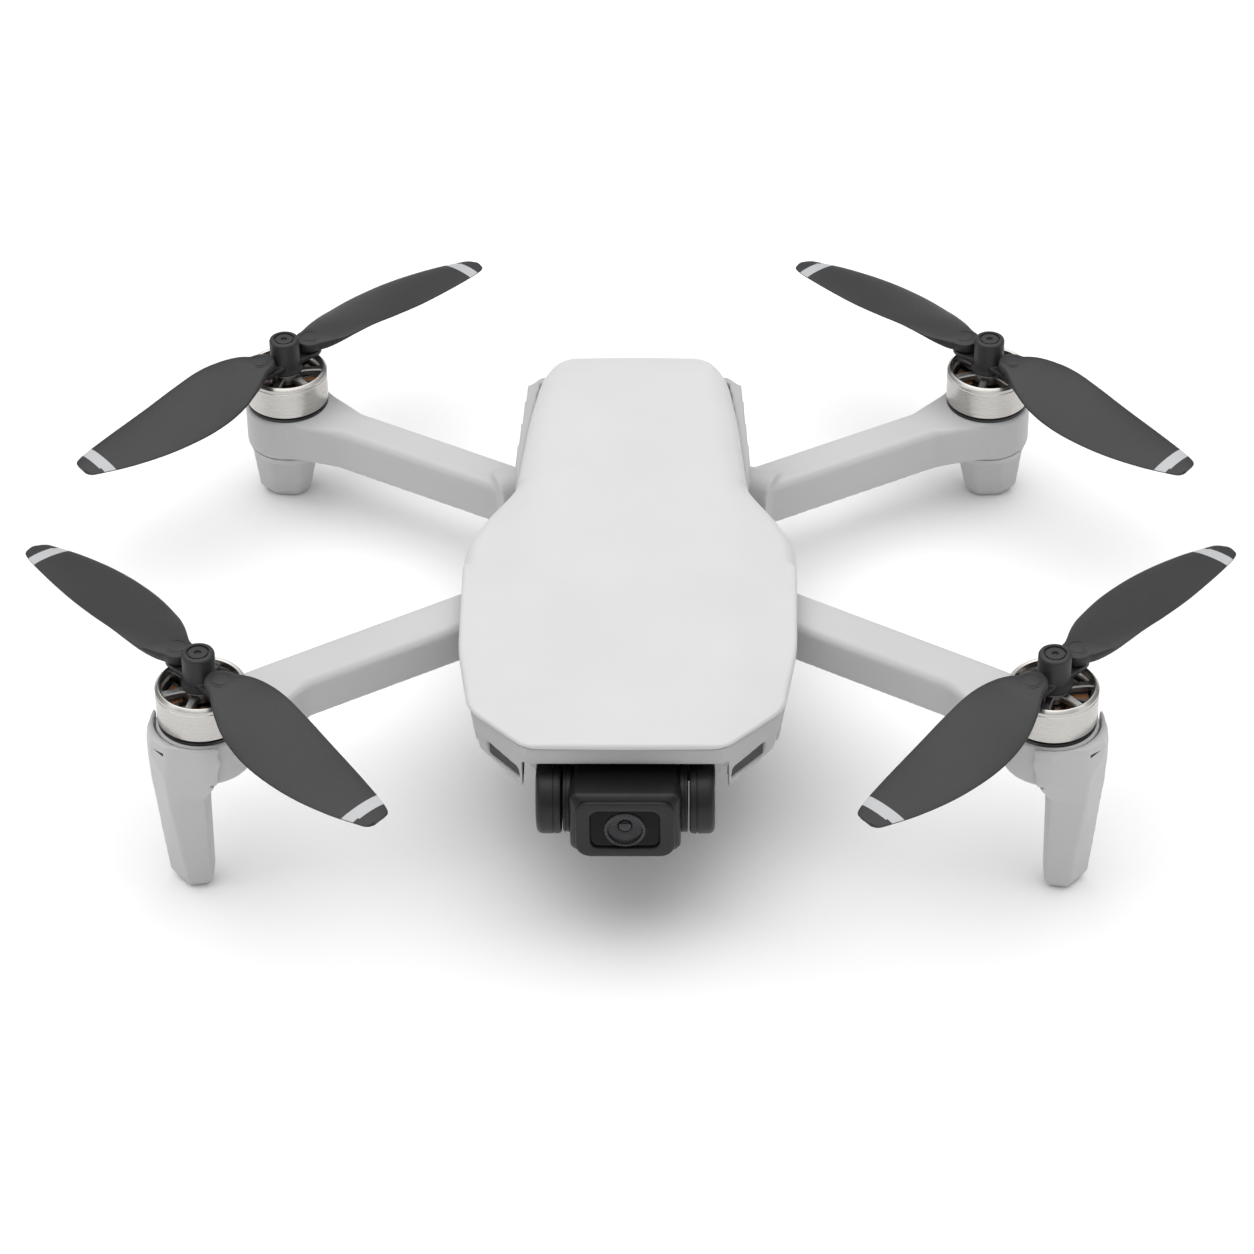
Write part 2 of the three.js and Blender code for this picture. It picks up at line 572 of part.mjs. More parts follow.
function frameSolid() {
  const { noseTop, noseFoot } = framePoints();
  const top = seamHeight - gap;
  const nose = hull(bothSides([...noseTop, ...noseFoot, [32.8, -60, top], [31, -60, cheekBottom],
    [19.4, -85.9, noseBottom]]));
  const waist = hull(bothSides([
    [32.4, -64, top], [33.9, -46, top], [shoulder - 0.3, -24.4, top],
    [30.6, -64, cheekBottom - 3], [32.6, -46, frameBottom], [33, -24.4, frameBottom], [30, -60, frameBottom],
  ]));
  const trunk = hull(bothSides([
    [23.9, -26, frameBottom], [23.9, 6, frameBottom], [23.9, 30, frameBottom], [22.4, rearEnd, frameBottom],
    [23.9, -26, skirtBottom], [23.9, 30, skirtBottom], [22.4, rearEnd, skirtBottom],
  ]));
  const rail = hull(bothSides([
    [24.6, 6.5, skirtBottom], [25.3, 12, skirtBottom], [23.2, 45.4, skirtBottom],
    [20.4, rearEnd, skirtBottom - 2],
    [24.6, 6.5, railTop], [25.3, 18, railTop], [23.6, 45.5, railTop], [20.6, 49.2, railTop - 0.4],
  ]));
  const body = union([nose, waist, trunk, rail]);
  const sweep = [
    frontPoint(0, -knuckleRadius - gap), frontPoint(40, -knuckleRadius - gap), [70, 60], [24.05, 60],
    [24.05, 8], [22.4, 4], [22.4, frontArm.hingeY],
  ];
  const cavity = (side) => plate([
    [0, bay.back + wall], [30.4, bay.back + wall], [31.6, -46], [31.4, -40], [20.6, -36], [20.6, -16],
    [22.2, -12], [22.2, 30], [20.6, rearEnd - wall], [0, rearEnd - wall],
  ].map(([x, y]) => [x * side, y]), frameBottom - 1, deckTop);
  const tools = [
    block([-bay.halfWidth, -100, 20], [bay.halfWidth, bay.back, noseBottom]),
    block([-bay.ceilingHalfWidth, bay.front, 20], [bay.ceilingHalfWidth, bay.back, deckTop]),
  ];
  for (const side of [1, -1]) {
    tools.push(plate(sweep.map(([x, y]) => [x * side, y]), slotBottom, slotTop));
    tools.push(rod(knuckleRadius + gap, slotBottom, slotTop, side * frontArm.hingeX, frontArm.hingeY, 24));
    tools.push(rod(pinBore, frameBottom - 1, frontPinTop + 0.4, side * frontArm.hingeX, frontArm.hingeY));
    tools.push(cavity(side));
  }
  const tailHole = (x, halfWidth, bottom, height) => block(
    [x - halfWidth - gap, rearEnd - 3, bottom - gap],
    [x + halfWidth + gap, rearEnd + 3, bottom + height + gap],
  );
  const lampHole = tailHole(0, statusLamp.halfWidth, statusLamp.z, statusLamp.height);
  const sockets = [-1, 1].map((side) => tailHole(side * socket.x, socket.halfWidth, socket.z, socket.height));
  return cut(body, [...tools, lampHole, ...sockets, ...intakes(), ...coverHulls(-gap), skirt(-gap)]);
}

addMesh('mid_frame', surface(frameSolid()), 'framePlastic');

const cover = cut(union([...coverHulls(0), skirt(0)]), [
  ...coverHulls(wall * 0.8),
  skirt(wall * 0.8),
  block([-24.6, -24.4, skirtBottom - 1], [24.6, 30, seamHeight]),
]);
addMesh('top_shell', surface(cover), 'coverPlastic');

// Level rod on the battery door's hinge.
function hingeRod(half, radius, sides) {
  return rodBetween([-half, doorHinge.y, doorHinge.z], [half, doorHinge.y, doorHinge.z], radius, sides);
}

// Belly: a tray for the battery, with a boss for each rear hinge pin.
function trayOutline(inset) {
  const right = [[17.6 - inset, -60 + inset], [21.8 - inset, -54 + inset * 0.6], [21.8 - inset, 32],
    [21.8 - inset, 44], [18.8 - inset, rearEnd - 0.6 - inset]];
  return [...right, ...right.toReversed().map(([x, y]) => [-x, y])];
}

function bellySolid() {
  const top = frameBottom - gap;
  const points = (inset, z) => trayOutline(inset).map(([x, y]) => [x, y, z]);
  const outer = hull([...points(0, top), ...points(0, bellyBottom + 4), ...points(2.4, bellyBottom)]);
  const tray = [
    block([-battery.halfWidth - gap, battery.front - gap, battery.bottom - gap],
      [battery.halfWidth + gap, rearEnd + 3, top + 1]),
    block([-19, battery.front - 3, bellyBottom + 5], [19, 31, top + 1]),
    block([-15, vision.front - 1, bellyBottom + 2], [15, battery.front - 1.4, top + 1]),
    block([-vision.halfWidth - gap, vision.front - gap, bellyBottom - 1],
      [vision.halfWidth + gap, vision.back + gap, bellyBottom + 3]),
    rod(button.radius + gap, bellyBottom - 1, bellyBottom + 3, 0, button.y),
    block([-doorSize.halfWidth - gap, rearEnd - 1, bellyBottom - 1],
      [doorSize.halfWidth + gap, rearEnd + 3, top + 1]),
    block([-doorHinge.half - gap, rearEnd - 2.2, bellyBottom - 1],
      [doorHinge.half + gap, rearEnd + 3, battery.bottom]),
  ];
  for (const side of [1, -1]) {
    const pocket = rodBetween(alongAxis(-barrel.half - gap), alongAxis(12), 10.2, 24);
    const bore = rodBetween(alongAxis(-barrel.half - 5), alongAxis(0), pinBore);
    for (const tool of [pocket, bore]) {
      tray.push(tool.scale(side, 1, 1));
    }
  }
  const lugs = [-1, 1].map((side) => {
    const { half, lugHalf, y } = doorHinge;
    const middle = side * (half + gap + lugHalf);
    const low = [middle - lugHalf, rearEnd - 3.4, bellyBottom + 0.1];
    return block(low, [middle + lugHalf, y + 1, bellyBottom + 2.5]);
  });
  const bore = hingeRod(doorHinge.pinHalf + 1, doorHinge.pin + gap / 2, 12);
  const shell = cut(solid(outer), tray);
  return cut(lugs.map(solid).reduce((whole, lug) => whole.add(lug), shell), [bore]);
}
addMesh('bottom_shell', surface(bellySolid()), 'framePlastic');

// Hinge pins.
const frontPin = rod(pinRadius, frameBottom + 0.2, frontPinTop, frontArm.hingeX, frontArm.hingeY);
addPair('front_arm_pin', solid(frontPin), 'pinSteel');
const rearPin = rodBetween(alongAxis(-barrel.half - 4.6), alongAxis(barrel.half - 1.6), pinRadius);
addPair('rear_arm_pin', solid(rearPin), 'pinSteel');

// Battery bay: pack, rear door on its level pin, and the button and sensors of the belly.
function batterySolid() {
  const { halfWidth, front, back, bottom, top } = battery;
  const bevel = 1;
  const inside = halfWidth - bevel;
  const ends = [front, back].flatMap((y) => [
    [inside, y, bottom + bevel], [inside, y, top], [inside, y === front ? y + bevel : y, bottom],
  ]);
  const sides = [front + bevel, back - bevel].flatMap((y) => [
    [halfWidth, y, bottom + bevel], [halfWidth, y, top],
  ]);
  return solid(hull(bothSides([...ends, ...sides])));
}
addMesh('battery', surface(batterySolid()), 'batteryGrey');

const doorFace = rearEnd + doorSize.thickness;
const door = union([
  block([-doorSize.halfWidth, rearEnd, doorSize.bottom], [doorSize.halfWidth, doorFace, doorSize.top - gap]),
  block([-doorHinge.half, doorHinge.y - 0.6, doorHinge.z], [doorHinge.half, doorFace, doorSize.bottom + 1]),
  hingeRod(doorHinge.half, doorHinge.radius, 16),
]);
const doorBore = hingeRod(doorHinge.half + 1, doorHinge.pin + gap, 12);
addMesh('battery_door', surface(cut(door, [doorBore])), 'framePlastic');
const doorPin = hingeRod(doorHinge.pinHalf, doorHinge.pin - gap / 3, 12);
addMesh('battery_door_pin', surface(solid(doorPin)), 'pinSteel');

const buttonBottom = bellyBottom - 0.4;
const buttonTop = buttonBottom + button.height - button.travel;
const buttonRod = rod(button.radius, buttonBottom, buttonTop, 0, button.y);
addMesh('power_button', surface(solid(buttonRod)), 'darkPlastic');
const visionBottom = bellyBottom + 0.2;
const visionBlock = block([-vision.halfWidth, vision.front, visionBottom],
  [vision.halfWidth, vision.back, visionBottom + vision.height]);
addMesh('vision_module', surface(solid(visionBlock)), 'darkPlastic');

// Electronics in the middle frame.
const boardBottom = frameBottom + 4;
const board = block([-18.6, -58, boardBottom], [18.6, 40, boardBottom + 1.2]);
addMesh('main_board', surface(solid(board)), 'boardGreen');
const finCount = 7;
const sink = union([
  block([-13, -54, boardBottom + 1.5], [13, -10, boardBottom + 3]),
  ...Array.from({ length: finCount }, (_, i) => {
    const x = -12 + (24 * i) / (finCount - 1);
    return block([x - 0.5, -53, boardBottom + 2.8], [x + 0.5, -11, boardBottom + 7]);
  }),
]);
addMesh('heat_sink', surface(sink), 'aluminium');
const lampBlock = block([-statusLamp.halfWidth, rearEnd - 1.8, statusLamp.z],
  [statusLamp.halfWidth, rearEnd - 0.2, statusLamp.z + statusLamp.height]);
addMesh('status_lamp', surface(solid(lampBlock)), 'lamp');
for (const [name, side] of [['usb_port', 1], ['card_slot', -1]]) {
  const frame = solid(block([side * socket.x - socket.halfWidth, rearEnd - 6.4, socket.z + 1.5],
    [side * socket.x + socket.halfWidth, rearEnd - 0.4, socket.z + socket.height]));
  addMesh(name, surface(frame), 'pinSteel');
}
for (const [name, side] of [['right_intake_grille', 1], ['left_intake_grille', -1]]) {
  const faces = [2.4, 1.4].flatMap((depth) => intakePoints(side, gap, depth).slice(0, 4));
  addMesh(name, surface(solid(hull(faces))), 'darkPlastic');
}

// Camera gimbal: yaw motor on a damped plate, roll motor, and a fork that carries the tilting camera.
const damper = { halfWidth: 14, front: -83.4, back: -64.4, bottom: 44, top: 45.1 };
const yawMotor = { radius: 6.6, discRadius: 6 };
const yawArm = { halfWidth: 5, front: -67.2, back: -65.2, thickness: 1.4, top: 41.2, drop: 4 };
const rollMotor = { radius: 5.4, front: -70.7 };
const rollZ = tiltAxis.z;
const damperPlate = block([-damper.halfWidth, damper.front, damper.bottom],
  [damper.halfWidth, damper.back, damper.top]);
addMesh('gimbal_damper_plate', surface(solid(damperPlate)), 'gimbalBlack');
const yawHousing = rod(yawMotor.radius, yawArm.top + gap, damper.bottom - gap, 0, yawY, 28);
addMesh('gimbal_yaw_motor', surface(solid(yawHousing)), 'gimbalBlack');
const yawArmCorner = [yawArm.halfWidth, yawArm.back, yawArm.top];
const yawArmSolid = union([
  rod(yawMotor.discRadius, yawArm.top - yawArm.thickness, yawArm.top, 0, yawY, 28),
  block([-yawArm.halfWidth, yawY, yawArm.top - yawArm.thickness], yawArmCorner),
  block([-yawArm.halfWidth, yawArm.front, rollZ - yawArm.drop], yawArmCorner),
]);
addMesh('gimbal_yaw_arm', surface(yawArmSolid), 'gimbalBlack');
function rollRod(from, to, radius) {
  return rodBetween([0, from, rollZ], [0, to, rollZ], radius, 28);
}
const rollHousing = rollRod(yawArm.front - gap, rollMotor.front, rollMotor.radius);
addMesh('gimbal_roll_motor', surface(solid(rollHousing)), 'gimbalBlack');

const fork = { front: -75.6, back: -73.6, discRadius: 5, half: 2.6, tipHalf: 2.2, inner: drum.inner + 1.2 };
const forkOuter = drum.outer - 0.4;
function tiltRod(from, to, radius, sides) {
  return rodBetween([from, tiltAxis.y, tiltAxis.z], [to, tiltAxis.y, tiltAxis.z], radius, sides);
}

function forkProng(side) {
  const ends = [[fork.front + 1, fork.half], [tiltAxis.y + 4, fork.tipHalf]];
  return hull(ends.flatMap(([y, half]) => [-half, half].flatMap((dz) => [
    [side * fork.inner, y, rollZ + dz], [side * forkOuter, y, rollZ + dz],
  ])));
}
const forkSolid = cut(union([
  rollRod(rollMotor.front - gap, fork.back, fork.discRadius),
  block([-forkOuter, fork.front, rollZ - fork.half], [forkOuter, fork.back + 0.1, rollZ + fork.half]),
  forkProng(1),
  forkProng(-1),
]), [tiltRod(-drum.outer - 1, drum.outer + 1, drum.radius + gap, 32)]);
addMesh('gimbal_fork', surface(forkSolid), 'gimbalBlack');
for (const [name, side] of [['gimbal_tilt_motor', -1], ['gimbal_tilt_bearing', 1]]) {
  const housing = tiltRod(side * drum.inner, side * drum.outer, drum.radius, 32);
  addMesh(name, surface(solid(housing)), 'gimbalBlack');
}

const { halfWidth: camHalf, front: camFront, back: camBack, bottom: camBottom, top: camTop } = camera;
const camPoints = [];
for (const [inset, y] of [[1.2, camFront], [0, camFront + 1.2], [0, camBack - 2.4], [2.4, camBack]]) {
  camPoints.push([camHalf - inset, y, camBottom + inset + 1.2], [camHalf - inset - 1.2, y, camBottom + inset],
    [camHalf - inset, y, camTop - inset - 1.2], [camHalf - inset - 1.2, y, camTop - inset]);
}
const lensZ = (camTop + camBottom) / 2;
const lens = { radius: 4, bore: 3.2, glass: 2.9, depth: 4.6, socketDepth: 5, bezelRise: 1.3 };
function lensRod(front, back, radius) {
  return rodBetween([0, camFront + front, lensZ], [0, camFront + back, lensZ], radius, 28);
}
const axle = tiltRod(-drum.inner + gap, drum.inner - gap, 4.4, 24);
const lensSocket = lensRod(-1, lens.socketDepth, lens.radius + gap);
const cameraBody = cut(union([hull(bothSides(camPoints)), axle]), [lensSocket]);
addMesh('camera_body', surface(cameraBody), 'gimbalBlack');

// Raised frame round the lens: half width and half height at its back and front edges, corners cut.
const bezelEdges = [[camHalf - 1.2, 6.6, 5.2, -gap], [camHalf - 1.4, 6.4, 5.1, -lens.bezelRise]];
const bezelPoints = bezelEdges.flatMap(([half, rise, side, y]) => [-1, 1].flatMap((up) => [
  [half, camFront + y, lensZ + up * side], [half - 1.6, camFront + y, lensZ + up * rise],
]));
const bezel = cut(solid(hull(bothSides(bezelPoints))), [lensRod(-4, 1, lens.radius + gap)]);
addMesh('camera_bezel', surface(bezel), 'gimbalBlack');
const lensTube = solid(lensRod(0.2 - lens.bezelRise, lens.depth, lens.radius));
const lensBarrel = cut(lensTube, [lensRod(-3, 1.2, lens.bore)]);
addMesh('lens_barrel', surface(lensBarrel), 'gimbalBlack');
addMesh('lens_glass', surface(solid(lensRod(-0.1, 0.9, lens.glass))), 'glass');

export default drone;
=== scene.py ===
import json
import math

import bmesh
import bpy
import numpy as np
from mathutils import Matrix, Vector

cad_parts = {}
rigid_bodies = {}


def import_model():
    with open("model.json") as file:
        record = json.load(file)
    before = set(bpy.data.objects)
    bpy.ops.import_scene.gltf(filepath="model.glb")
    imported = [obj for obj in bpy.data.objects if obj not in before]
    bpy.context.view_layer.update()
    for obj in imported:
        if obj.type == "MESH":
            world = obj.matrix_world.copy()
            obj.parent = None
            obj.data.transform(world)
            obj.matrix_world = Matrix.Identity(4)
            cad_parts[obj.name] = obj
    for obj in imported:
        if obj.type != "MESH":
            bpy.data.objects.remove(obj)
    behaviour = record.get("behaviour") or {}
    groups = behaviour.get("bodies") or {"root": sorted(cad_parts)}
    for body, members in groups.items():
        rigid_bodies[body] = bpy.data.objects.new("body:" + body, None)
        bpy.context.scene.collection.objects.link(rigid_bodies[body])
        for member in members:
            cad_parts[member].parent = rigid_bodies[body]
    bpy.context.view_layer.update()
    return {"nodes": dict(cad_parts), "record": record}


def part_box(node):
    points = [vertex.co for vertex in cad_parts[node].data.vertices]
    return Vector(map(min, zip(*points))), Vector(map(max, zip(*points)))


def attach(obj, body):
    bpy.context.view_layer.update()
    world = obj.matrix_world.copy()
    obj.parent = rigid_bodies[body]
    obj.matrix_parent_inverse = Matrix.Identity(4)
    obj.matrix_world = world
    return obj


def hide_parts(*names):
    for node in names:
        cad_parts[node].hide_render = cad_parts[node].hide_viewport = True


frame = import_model()
mm = 0.001
corners = ("front_left", "front_right", "rear_left", "rear_right")

print("stage: camera and lights")
cameraSet = {
    "place": (0.01754, -0.77275, 0.60286),
    "pan": -0.0244,
    "tilt": 0.6545,
    "roll": -0.0138,
    "lens": 129.19,
    "sensor": 36.0,
}


def aimedCamera(settings):
    sinPan, cosPan = math.sin(settings["pan"]), math.cos(settings["pan"])
    sinTilt, cosTilt = math.sin(settings["tilt"]), math.cos(settings["tilt"])
    forward = Vector((sinPan * cosTilt, cosPan * cosTilt, -sinTilt))
    level = Vector((cosPan, -sinPan, 0))
    upright = level.cross(forward)
    sinRoll, cosRoll = math.sin(settings["roll"]), math.cos(settings["roll"])
    right = cosRoll * level + sinRoll * upright
    up = cosRoll * upright - sinRoll * level
    turn = Matrix((right, up, -forward)).transposed().to_4x4()
    data = bpy.data.cameras.new("studioCamera")
    data.lens = settings["lens"]
    data.sensor_width = settings["sensor"]
    data.clip_start = 0.01
    data.clip_end = 20
    camera = bpy.data.objects.new("studioCamera", data)
    camera.matrix_world = Matrix.Translation(settings["place"]) @ turn
    bpy.context.collection.objects.link(camera)
    bpy.context.scene.camera = camera


lightSet = {
    "horizon": 0.12,
    "zenith": 0.95,
    "sun": {"from": (-0.06, 0.16, 1.0), "power": 1.75, "spread": 80},
    "softboxes": [
        # place, aimed at, width, depth, watts
        ((-1.3, -0.3, 0.75), (0, 0, 0.03), 0.5, 1.1, 1.4),
        ((1.3, -0.3, 0.75), (0, 0, 0.03), 0.5, 1.1, 1.2),
    ],
}


def addSoftbox(index, place, target, width, depth, watts):
    data = bpy.data.lights.new(f"softbox{index}", "AREA")
    data.shape = "RECTANGLE"
    data.size = width
    data.size_y = depth
    data.energy = watts
    lamp = bpy.data.objects.new(f"softbox{index}", data)
    aim = (Vector(target) - Vector(place)).to_track_quat("-Z", "Y")
    lamp.matrix_world = Matrix.Translation(place) @ aim.to_matrix().to_4x4()
    bpy.context.collection.objects.link(lamp)


def addOverheadLight(settings):
    data = bpy.data.lights.new("overhead", "SUN")
    data.energy = settings["power"]
    data.angle = math.radians(settings["spread"])
    lamp = bpy.data.objects.new("overhead", data)
    lamp.matrix_world = (-Vector(settings["from"])).to_track_quat("-Z", "Y").to_matrix().to_4x4()
    bpy.context.collection.objects.link(lamp)


def lightTheStudio(settings):
    world = bpy.data.worlds.new("studioWorld")
    world.use_nodes = True
    nodes, links = world.node_tree.nodes, world.node_tree.links
    place = nodes.new("ShaderNodeTexCoord")
    split = nodes.new("ShaderNodeSeparateXYZ")
    ramp = nodes.new("ShaderNodeMapRange")
    ramp.inputs["From Min"].default_value = 0
    ramp.inputs["From Max"].default_value = 1
    ramp.inputs["To Min"].default_value = settings["horizon"]
    ramp.inputs["To Max"].default_value = settings["zenith"]
    links.new(place.outputs["Generated"], split.inputs["Vector"])
    links.new(split.outputs["Z"], ramp.inputs["Value"])
    links.new(ramp.outputs["Result"], nodes["Background"].inputs["Strength"])
    nodes["Background"].inputs["Color"].default_value = (1, 1, 1, 1)
    bpy.context.scene.world = world
    addOverheadLight(settings["sun"])
    for index, box in enumerate(settings["softboxes"]):
        addSoftbox(index, *box)


aimedCamera(cameraSet)
lightTheStudio(lightSet)
bpy.context.scene.view_settings.view_transform = "Standard"
bpy.context.scene.view_settings.look = "None"

print("stage: materials")


def newMaterial(name, color, roughness, metallic=0.0):
    material = bpy.data.materials.new(name)
    material.use_nodes = True
    shader = material.node_tree.nodes["Principled BSDF"]
    shader.inputs["Base Color"].default_value = (*color, 1)
    shader.inputs["Roughness"].default_value = roughness
    shader.inputs["Metallic"].default_value = metallic
    return material


def link(material, source, sourceSocket, target, targetSocket):
    material.node_tree.links.new(source.outputs[sourceSocket], target.inputs[targetSocket])


def addNode(material, kind, **values):
    node = material.node_tree.nodes.new(kind)
    for key, value in values.items():
        if key in node.inputs:
            node.inputs[key].default_value = value
        else:
            setattr(node, key, value)
    return node


def noiseAt(material, scale, detail=3.0, stretch=(1, 1, 1)):
    place = addNode(material, "ShaderNodeTexCoord")
    mapping = addNode(material, "ShaderNodeMapping")
    mapping.inputs["Scale"].default_value = stretch
    noise = addNode(material, "ShaderNodeTexNoise", Scale=scale, Detail=detail)
    link(material, place, "Object", mapping, "Vector")
    link(material, mapping, "Vector", noise, "Vector")
    return noise


def shadeBetween(material, noise, low, high, socket):
    ramp = addNode(material, "ShaderNodeMapRange")
    ramp.inputs["From Min"].default_value = 0.3
    ramp.inputs["From Max"].default_value = 0.7
    ramp.inputs["To Min"].default_value = low
    ramp.inputs["To Max"].default_value = high
    link(material, noise, "Fac", ramp, "Value")
    link(material, ramp, "Result", material.node_tree.nodes["Principled BSDF"], socket)


def tintBetween(material, noise, dark, light):
    ramp = addNode(material, "ShaderNodeValToRGB")
    ramp.color_ramp.elements[0].position = 0.3
    ramp.color_ramp.elements[0].color = (*dark, 1)
    ramp.color_ramp.elements[1].position = 0.7
    ramp.color_ramp.elements[1].color = (*light, 1)
    link(material, noise, "Fac", ramp, "Fac")
    link(material, ramp, "Color", material.node_tree.nodes["Principled BSDF"], "Base Color")


def bumpFrom(material, noise, height, strength):
    bump = addNode(material, "ShaderNodeBump", Strength=strength, Distance=height)
    link(material, noise, "Fac", bump, "Height")
    link(material, bump, "Normal", material.node_tree.nodes["Principled BSDF"], "Normal")


def mouldedPlastic(name, color, roughness, grain=2600, depth=0.00004, spread=0.02,
                   strength=0.25, gloss=0.5):
    material = newMaterial(name, color, roughness)
    shader = material.node_tree.nodes["Principled BSDF"]
    shader.inputs["Specular IOR Level"].default_value = gloss
    clouds = noiseAt(material, 45, 4)
    dark = tuple(max(0, c * (1 - spread)) for c in color)
    light = tuple(min(1, c * (1 + spread)) for c in color)
    tintBetween(material, clouds, dark, light)
    speckle = noiseAt(material, grain, 2)
    shadeBetween(material, speckle, roughness - 0.05, roughness + 0.06, "Roughness")
    bumpFrom(material, speckle, depth, strength)
    return material


def turnedMetal(name, color, roughness):
    material = newMaterial(name, color, roughness, 1.0)
    rings = noiseAt(material, 900, 2, (0.05, 0.05, 6))
    shadeBetween(material, rings, roughness - 0.08, roughness + 0.1, "Roughness")
    bumpFrom(material, rings, 0.00001, 0.3)
    return material


finishes = {
    "cover_plastic": mouldedPlastic("coverPlastic", (0.6, 0.6, 0.602), 0.55),
    # the frame plastic is set darker than the cover and arm plastic: painted shade, so the nose band,
    # cheeks and underside come out darker than the lamps alone make them
    "frame_plastic": mouldedPlastic("framePlastic", (0.43, 0.43, 0.43), 0.55),
    "arm_plastic": mouldedPlastic("armPlastic", (0.51, 0.51, 0.51), 0.5),
    "propeller_plastic": mouldedPlastic("propellerPlastic", (0.022, 0.022, 0.024), 0.46,
                                        spread=0.08, gloss=0.4),
    "bell_metal": turnedMetal("bellMetal", (0.5, 0.485, 0.465), 0.27),
    "stator_copper": mouldedPlastic("statorCopper", (0.3, 0.12, 0.04), 0.4, spread=0.3),
    "pin_steel": turnedMetal("pinSteel", (0.5, 0.5, 0.5), 0.3),
    "dark_plastic": mouldedPlastic("darkPlastic", (0.02, 0.02, 0.022), 0.5),
    "battery_shell": mouldedPlastic("batteryShell", (0.2, 0.21, 0.23), 0.5),
    "circuit_board": mouldedPlastic("circuitBoard", (0.02, 0.1, 0.05), 0.4, spread=0.3),
    "heat_sink": turnedMetal("heatSink", (0.6, 0.6, 0.61), 0.35),
    "lamp_lens": mouldedPlastic("lampLens", (0.6, 0.72, 0.6), 0.2),
    "gimbal_plastic": mouldedPlastic("gimbalPlastic", (0.011, 0.011, 0.012), 0.4, gloss=0.32),
    "lens_glass": newMaterial("lensGlass", (0.004, 0.005, 0.01), 0.04),
}


print("stage: making tools")
slotOf = {entry["node"]: entry["material_slot"] for entry in frame["record"]["subparts"]}
bodyOf = {node: body for body, nodes in frame["record"]["behaviour"]["bodies"].items() for node in nodes}
jointOf = {joint["name"]: joint for joint in frame["record"]["behaviour"]["joints"]}

for name, node in frame["nodes"].items():
    node.data.materials.clear()
    node.data.materials.append(finishes[slotOf[name]])


def pivotOf(joint):
    return Vector(jointOf[joint]["pos_m"])


def fit(piece, body, slotName, *nodes):
    # the finished piece joins its body and stands for the plain parts named
    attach(piece, body)
    if nodes:
        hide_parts(*nodes)
    return piece


def newPiece(name, mesh, material, smoothAngle=35):
    for polygon in mesh.polygons:
        polygon.use_smooth = True
    mesh.set_sharp_from_angle(angle=math.radians(smoothAngle))
    piece = bpy.data.objects.new(name, mesh)
    bpy.context.collection.objects.link(piece)
    if material is not None:
        mesh.materials.clear()
        mesh.materials.append(material)
    return piece


def meshOf(name, points, faces):
    mesh = bpy.data.meshes.new(name)
    mesh.from_pydata([tuple(point) for point in points], [], faces)
    form = bmesh.new()
    form.from_mesh(mesh)
    bmesh.ops.remove_doubles(form, verts=form.verts, dist=1e-7)
    bmesh.ops.recalc_face_normals(form, faces=form.faces)
    form.to_mesh(mesh)
    form.free()
    return mesh


def ringSkin(rings, capped=True):
    # points and faces of a skin through rings of equal count, each ring a closed loop
    count = len(rings[0])
    points = [point for ring in rings for point in ring]
    faces = []
    rows = len(rings)
    for row in range(rows - 1):
        for i in range(count):
            j = (i + 1) % count
            here, above = row * count, (row + 1) * count
            faces.append((here + i, here + j, above + j, above + i))
    if capped:
        faces.append(tuple(range(count - 1, -1, -1)))
        faces.append(tuple((rows - 1) * count + i for i in range(count)))
    return points, faces


def lathed(name, profile, centre, axis="Z", sides=96):
    # profile is (radius, distance along the axis) in mm; a point on the axis closes the form
    rings = []
    for radius, along in profile:
        ring = []
        for i in range(sides):
            angle = 2 * math.pi * i / sides
            a, b = radius * math.cos(angle) * mm, radius * math.sin(angle) * mm
            offset = {"Z": (a, b, along * mm), "X": (along * mm, a, b), "Y": (a, along * mm, b)}[axis]
            ring.append(Vector(centre) + Vector(offset))
        rings.append(ring)
    onAxis = profile[0][0] == 0 and profile[-1][0] == 0
    points, faces = ringSkin(rings, capped=False)
    if not onAxis and profile[0] != profile[-1]:
        last = (len(rings) - 1) * sides
        faces += [(last + i, last + (i + 1) % sides, (i + 1) % sides, i) for i in range(sides)]
    return meshOf(name, points, faces)


def plainCopy(name, *nodes):
    form = bmesh.new()
    for node in nodes:
        form.from_mesh(frame["nodes"][node].data)
    bmesh.ops.remove_doubles(form, verts=form.verts, dist=1e-6)
    mesh = bpy.data.meshes.new(name)
    form.to_mesh(mesh)
    form.free()
    return mesh


def carve(mesh, tools):
    # takes each tool mesh out of the form
    blank = bpy.data.objects.new("blank", mesh)
    bpy.context.collection.objects.link(blank)
    cutters = []
    for tool in tools:
        cutter = bpy.data.objects.new("cutter", tool)
        bpy.context.collection.objects.link(cutter)
        cutters.append(cutter)
        modifier = blank.modifiers.new("cut", "BOOLEAN")
        modifier.operation = "DIFFERENCE"
        modifier.object = cutter
    return bakedMesh(blank, cutters)


def bakedMesh(blank, extras=()):
    graph = bpy.context.evaluated_depsgraph_get()
    graph.update()
    mesh = bpy.data.meshes.new_from_object(blank.evaluated_get(graph))
    mesh.name = blank.name
    for thing in (blank, *extras):
        bpy.data.objects.remove(thing)
    return mesh


def softForm(name, mesh, settings):
    # moulded look: an even skin whose edges are rounded by smoothing
    blank = bpy.data.objects.new(name, mesh)
    bpy.context.collection.objects.link(blank)
    remesh = blank.modifiers.new("skin", "REMESH")
    remesh.mode = "VOXEL"
    remesh.voxel_size = settings["grain"] * mm
    smooth = blank.modifiers.new("round", "SMOOTH")
    smooth.factor = 0.5
    smooth.iterations = settings["rounds"]
    if settings.get("keep", 1) < 1:
        thin = blank.modifiers.new("thin", "DECIMATE")
        thin.ratio = settings["keep"]
    return bakedMesh(blank)


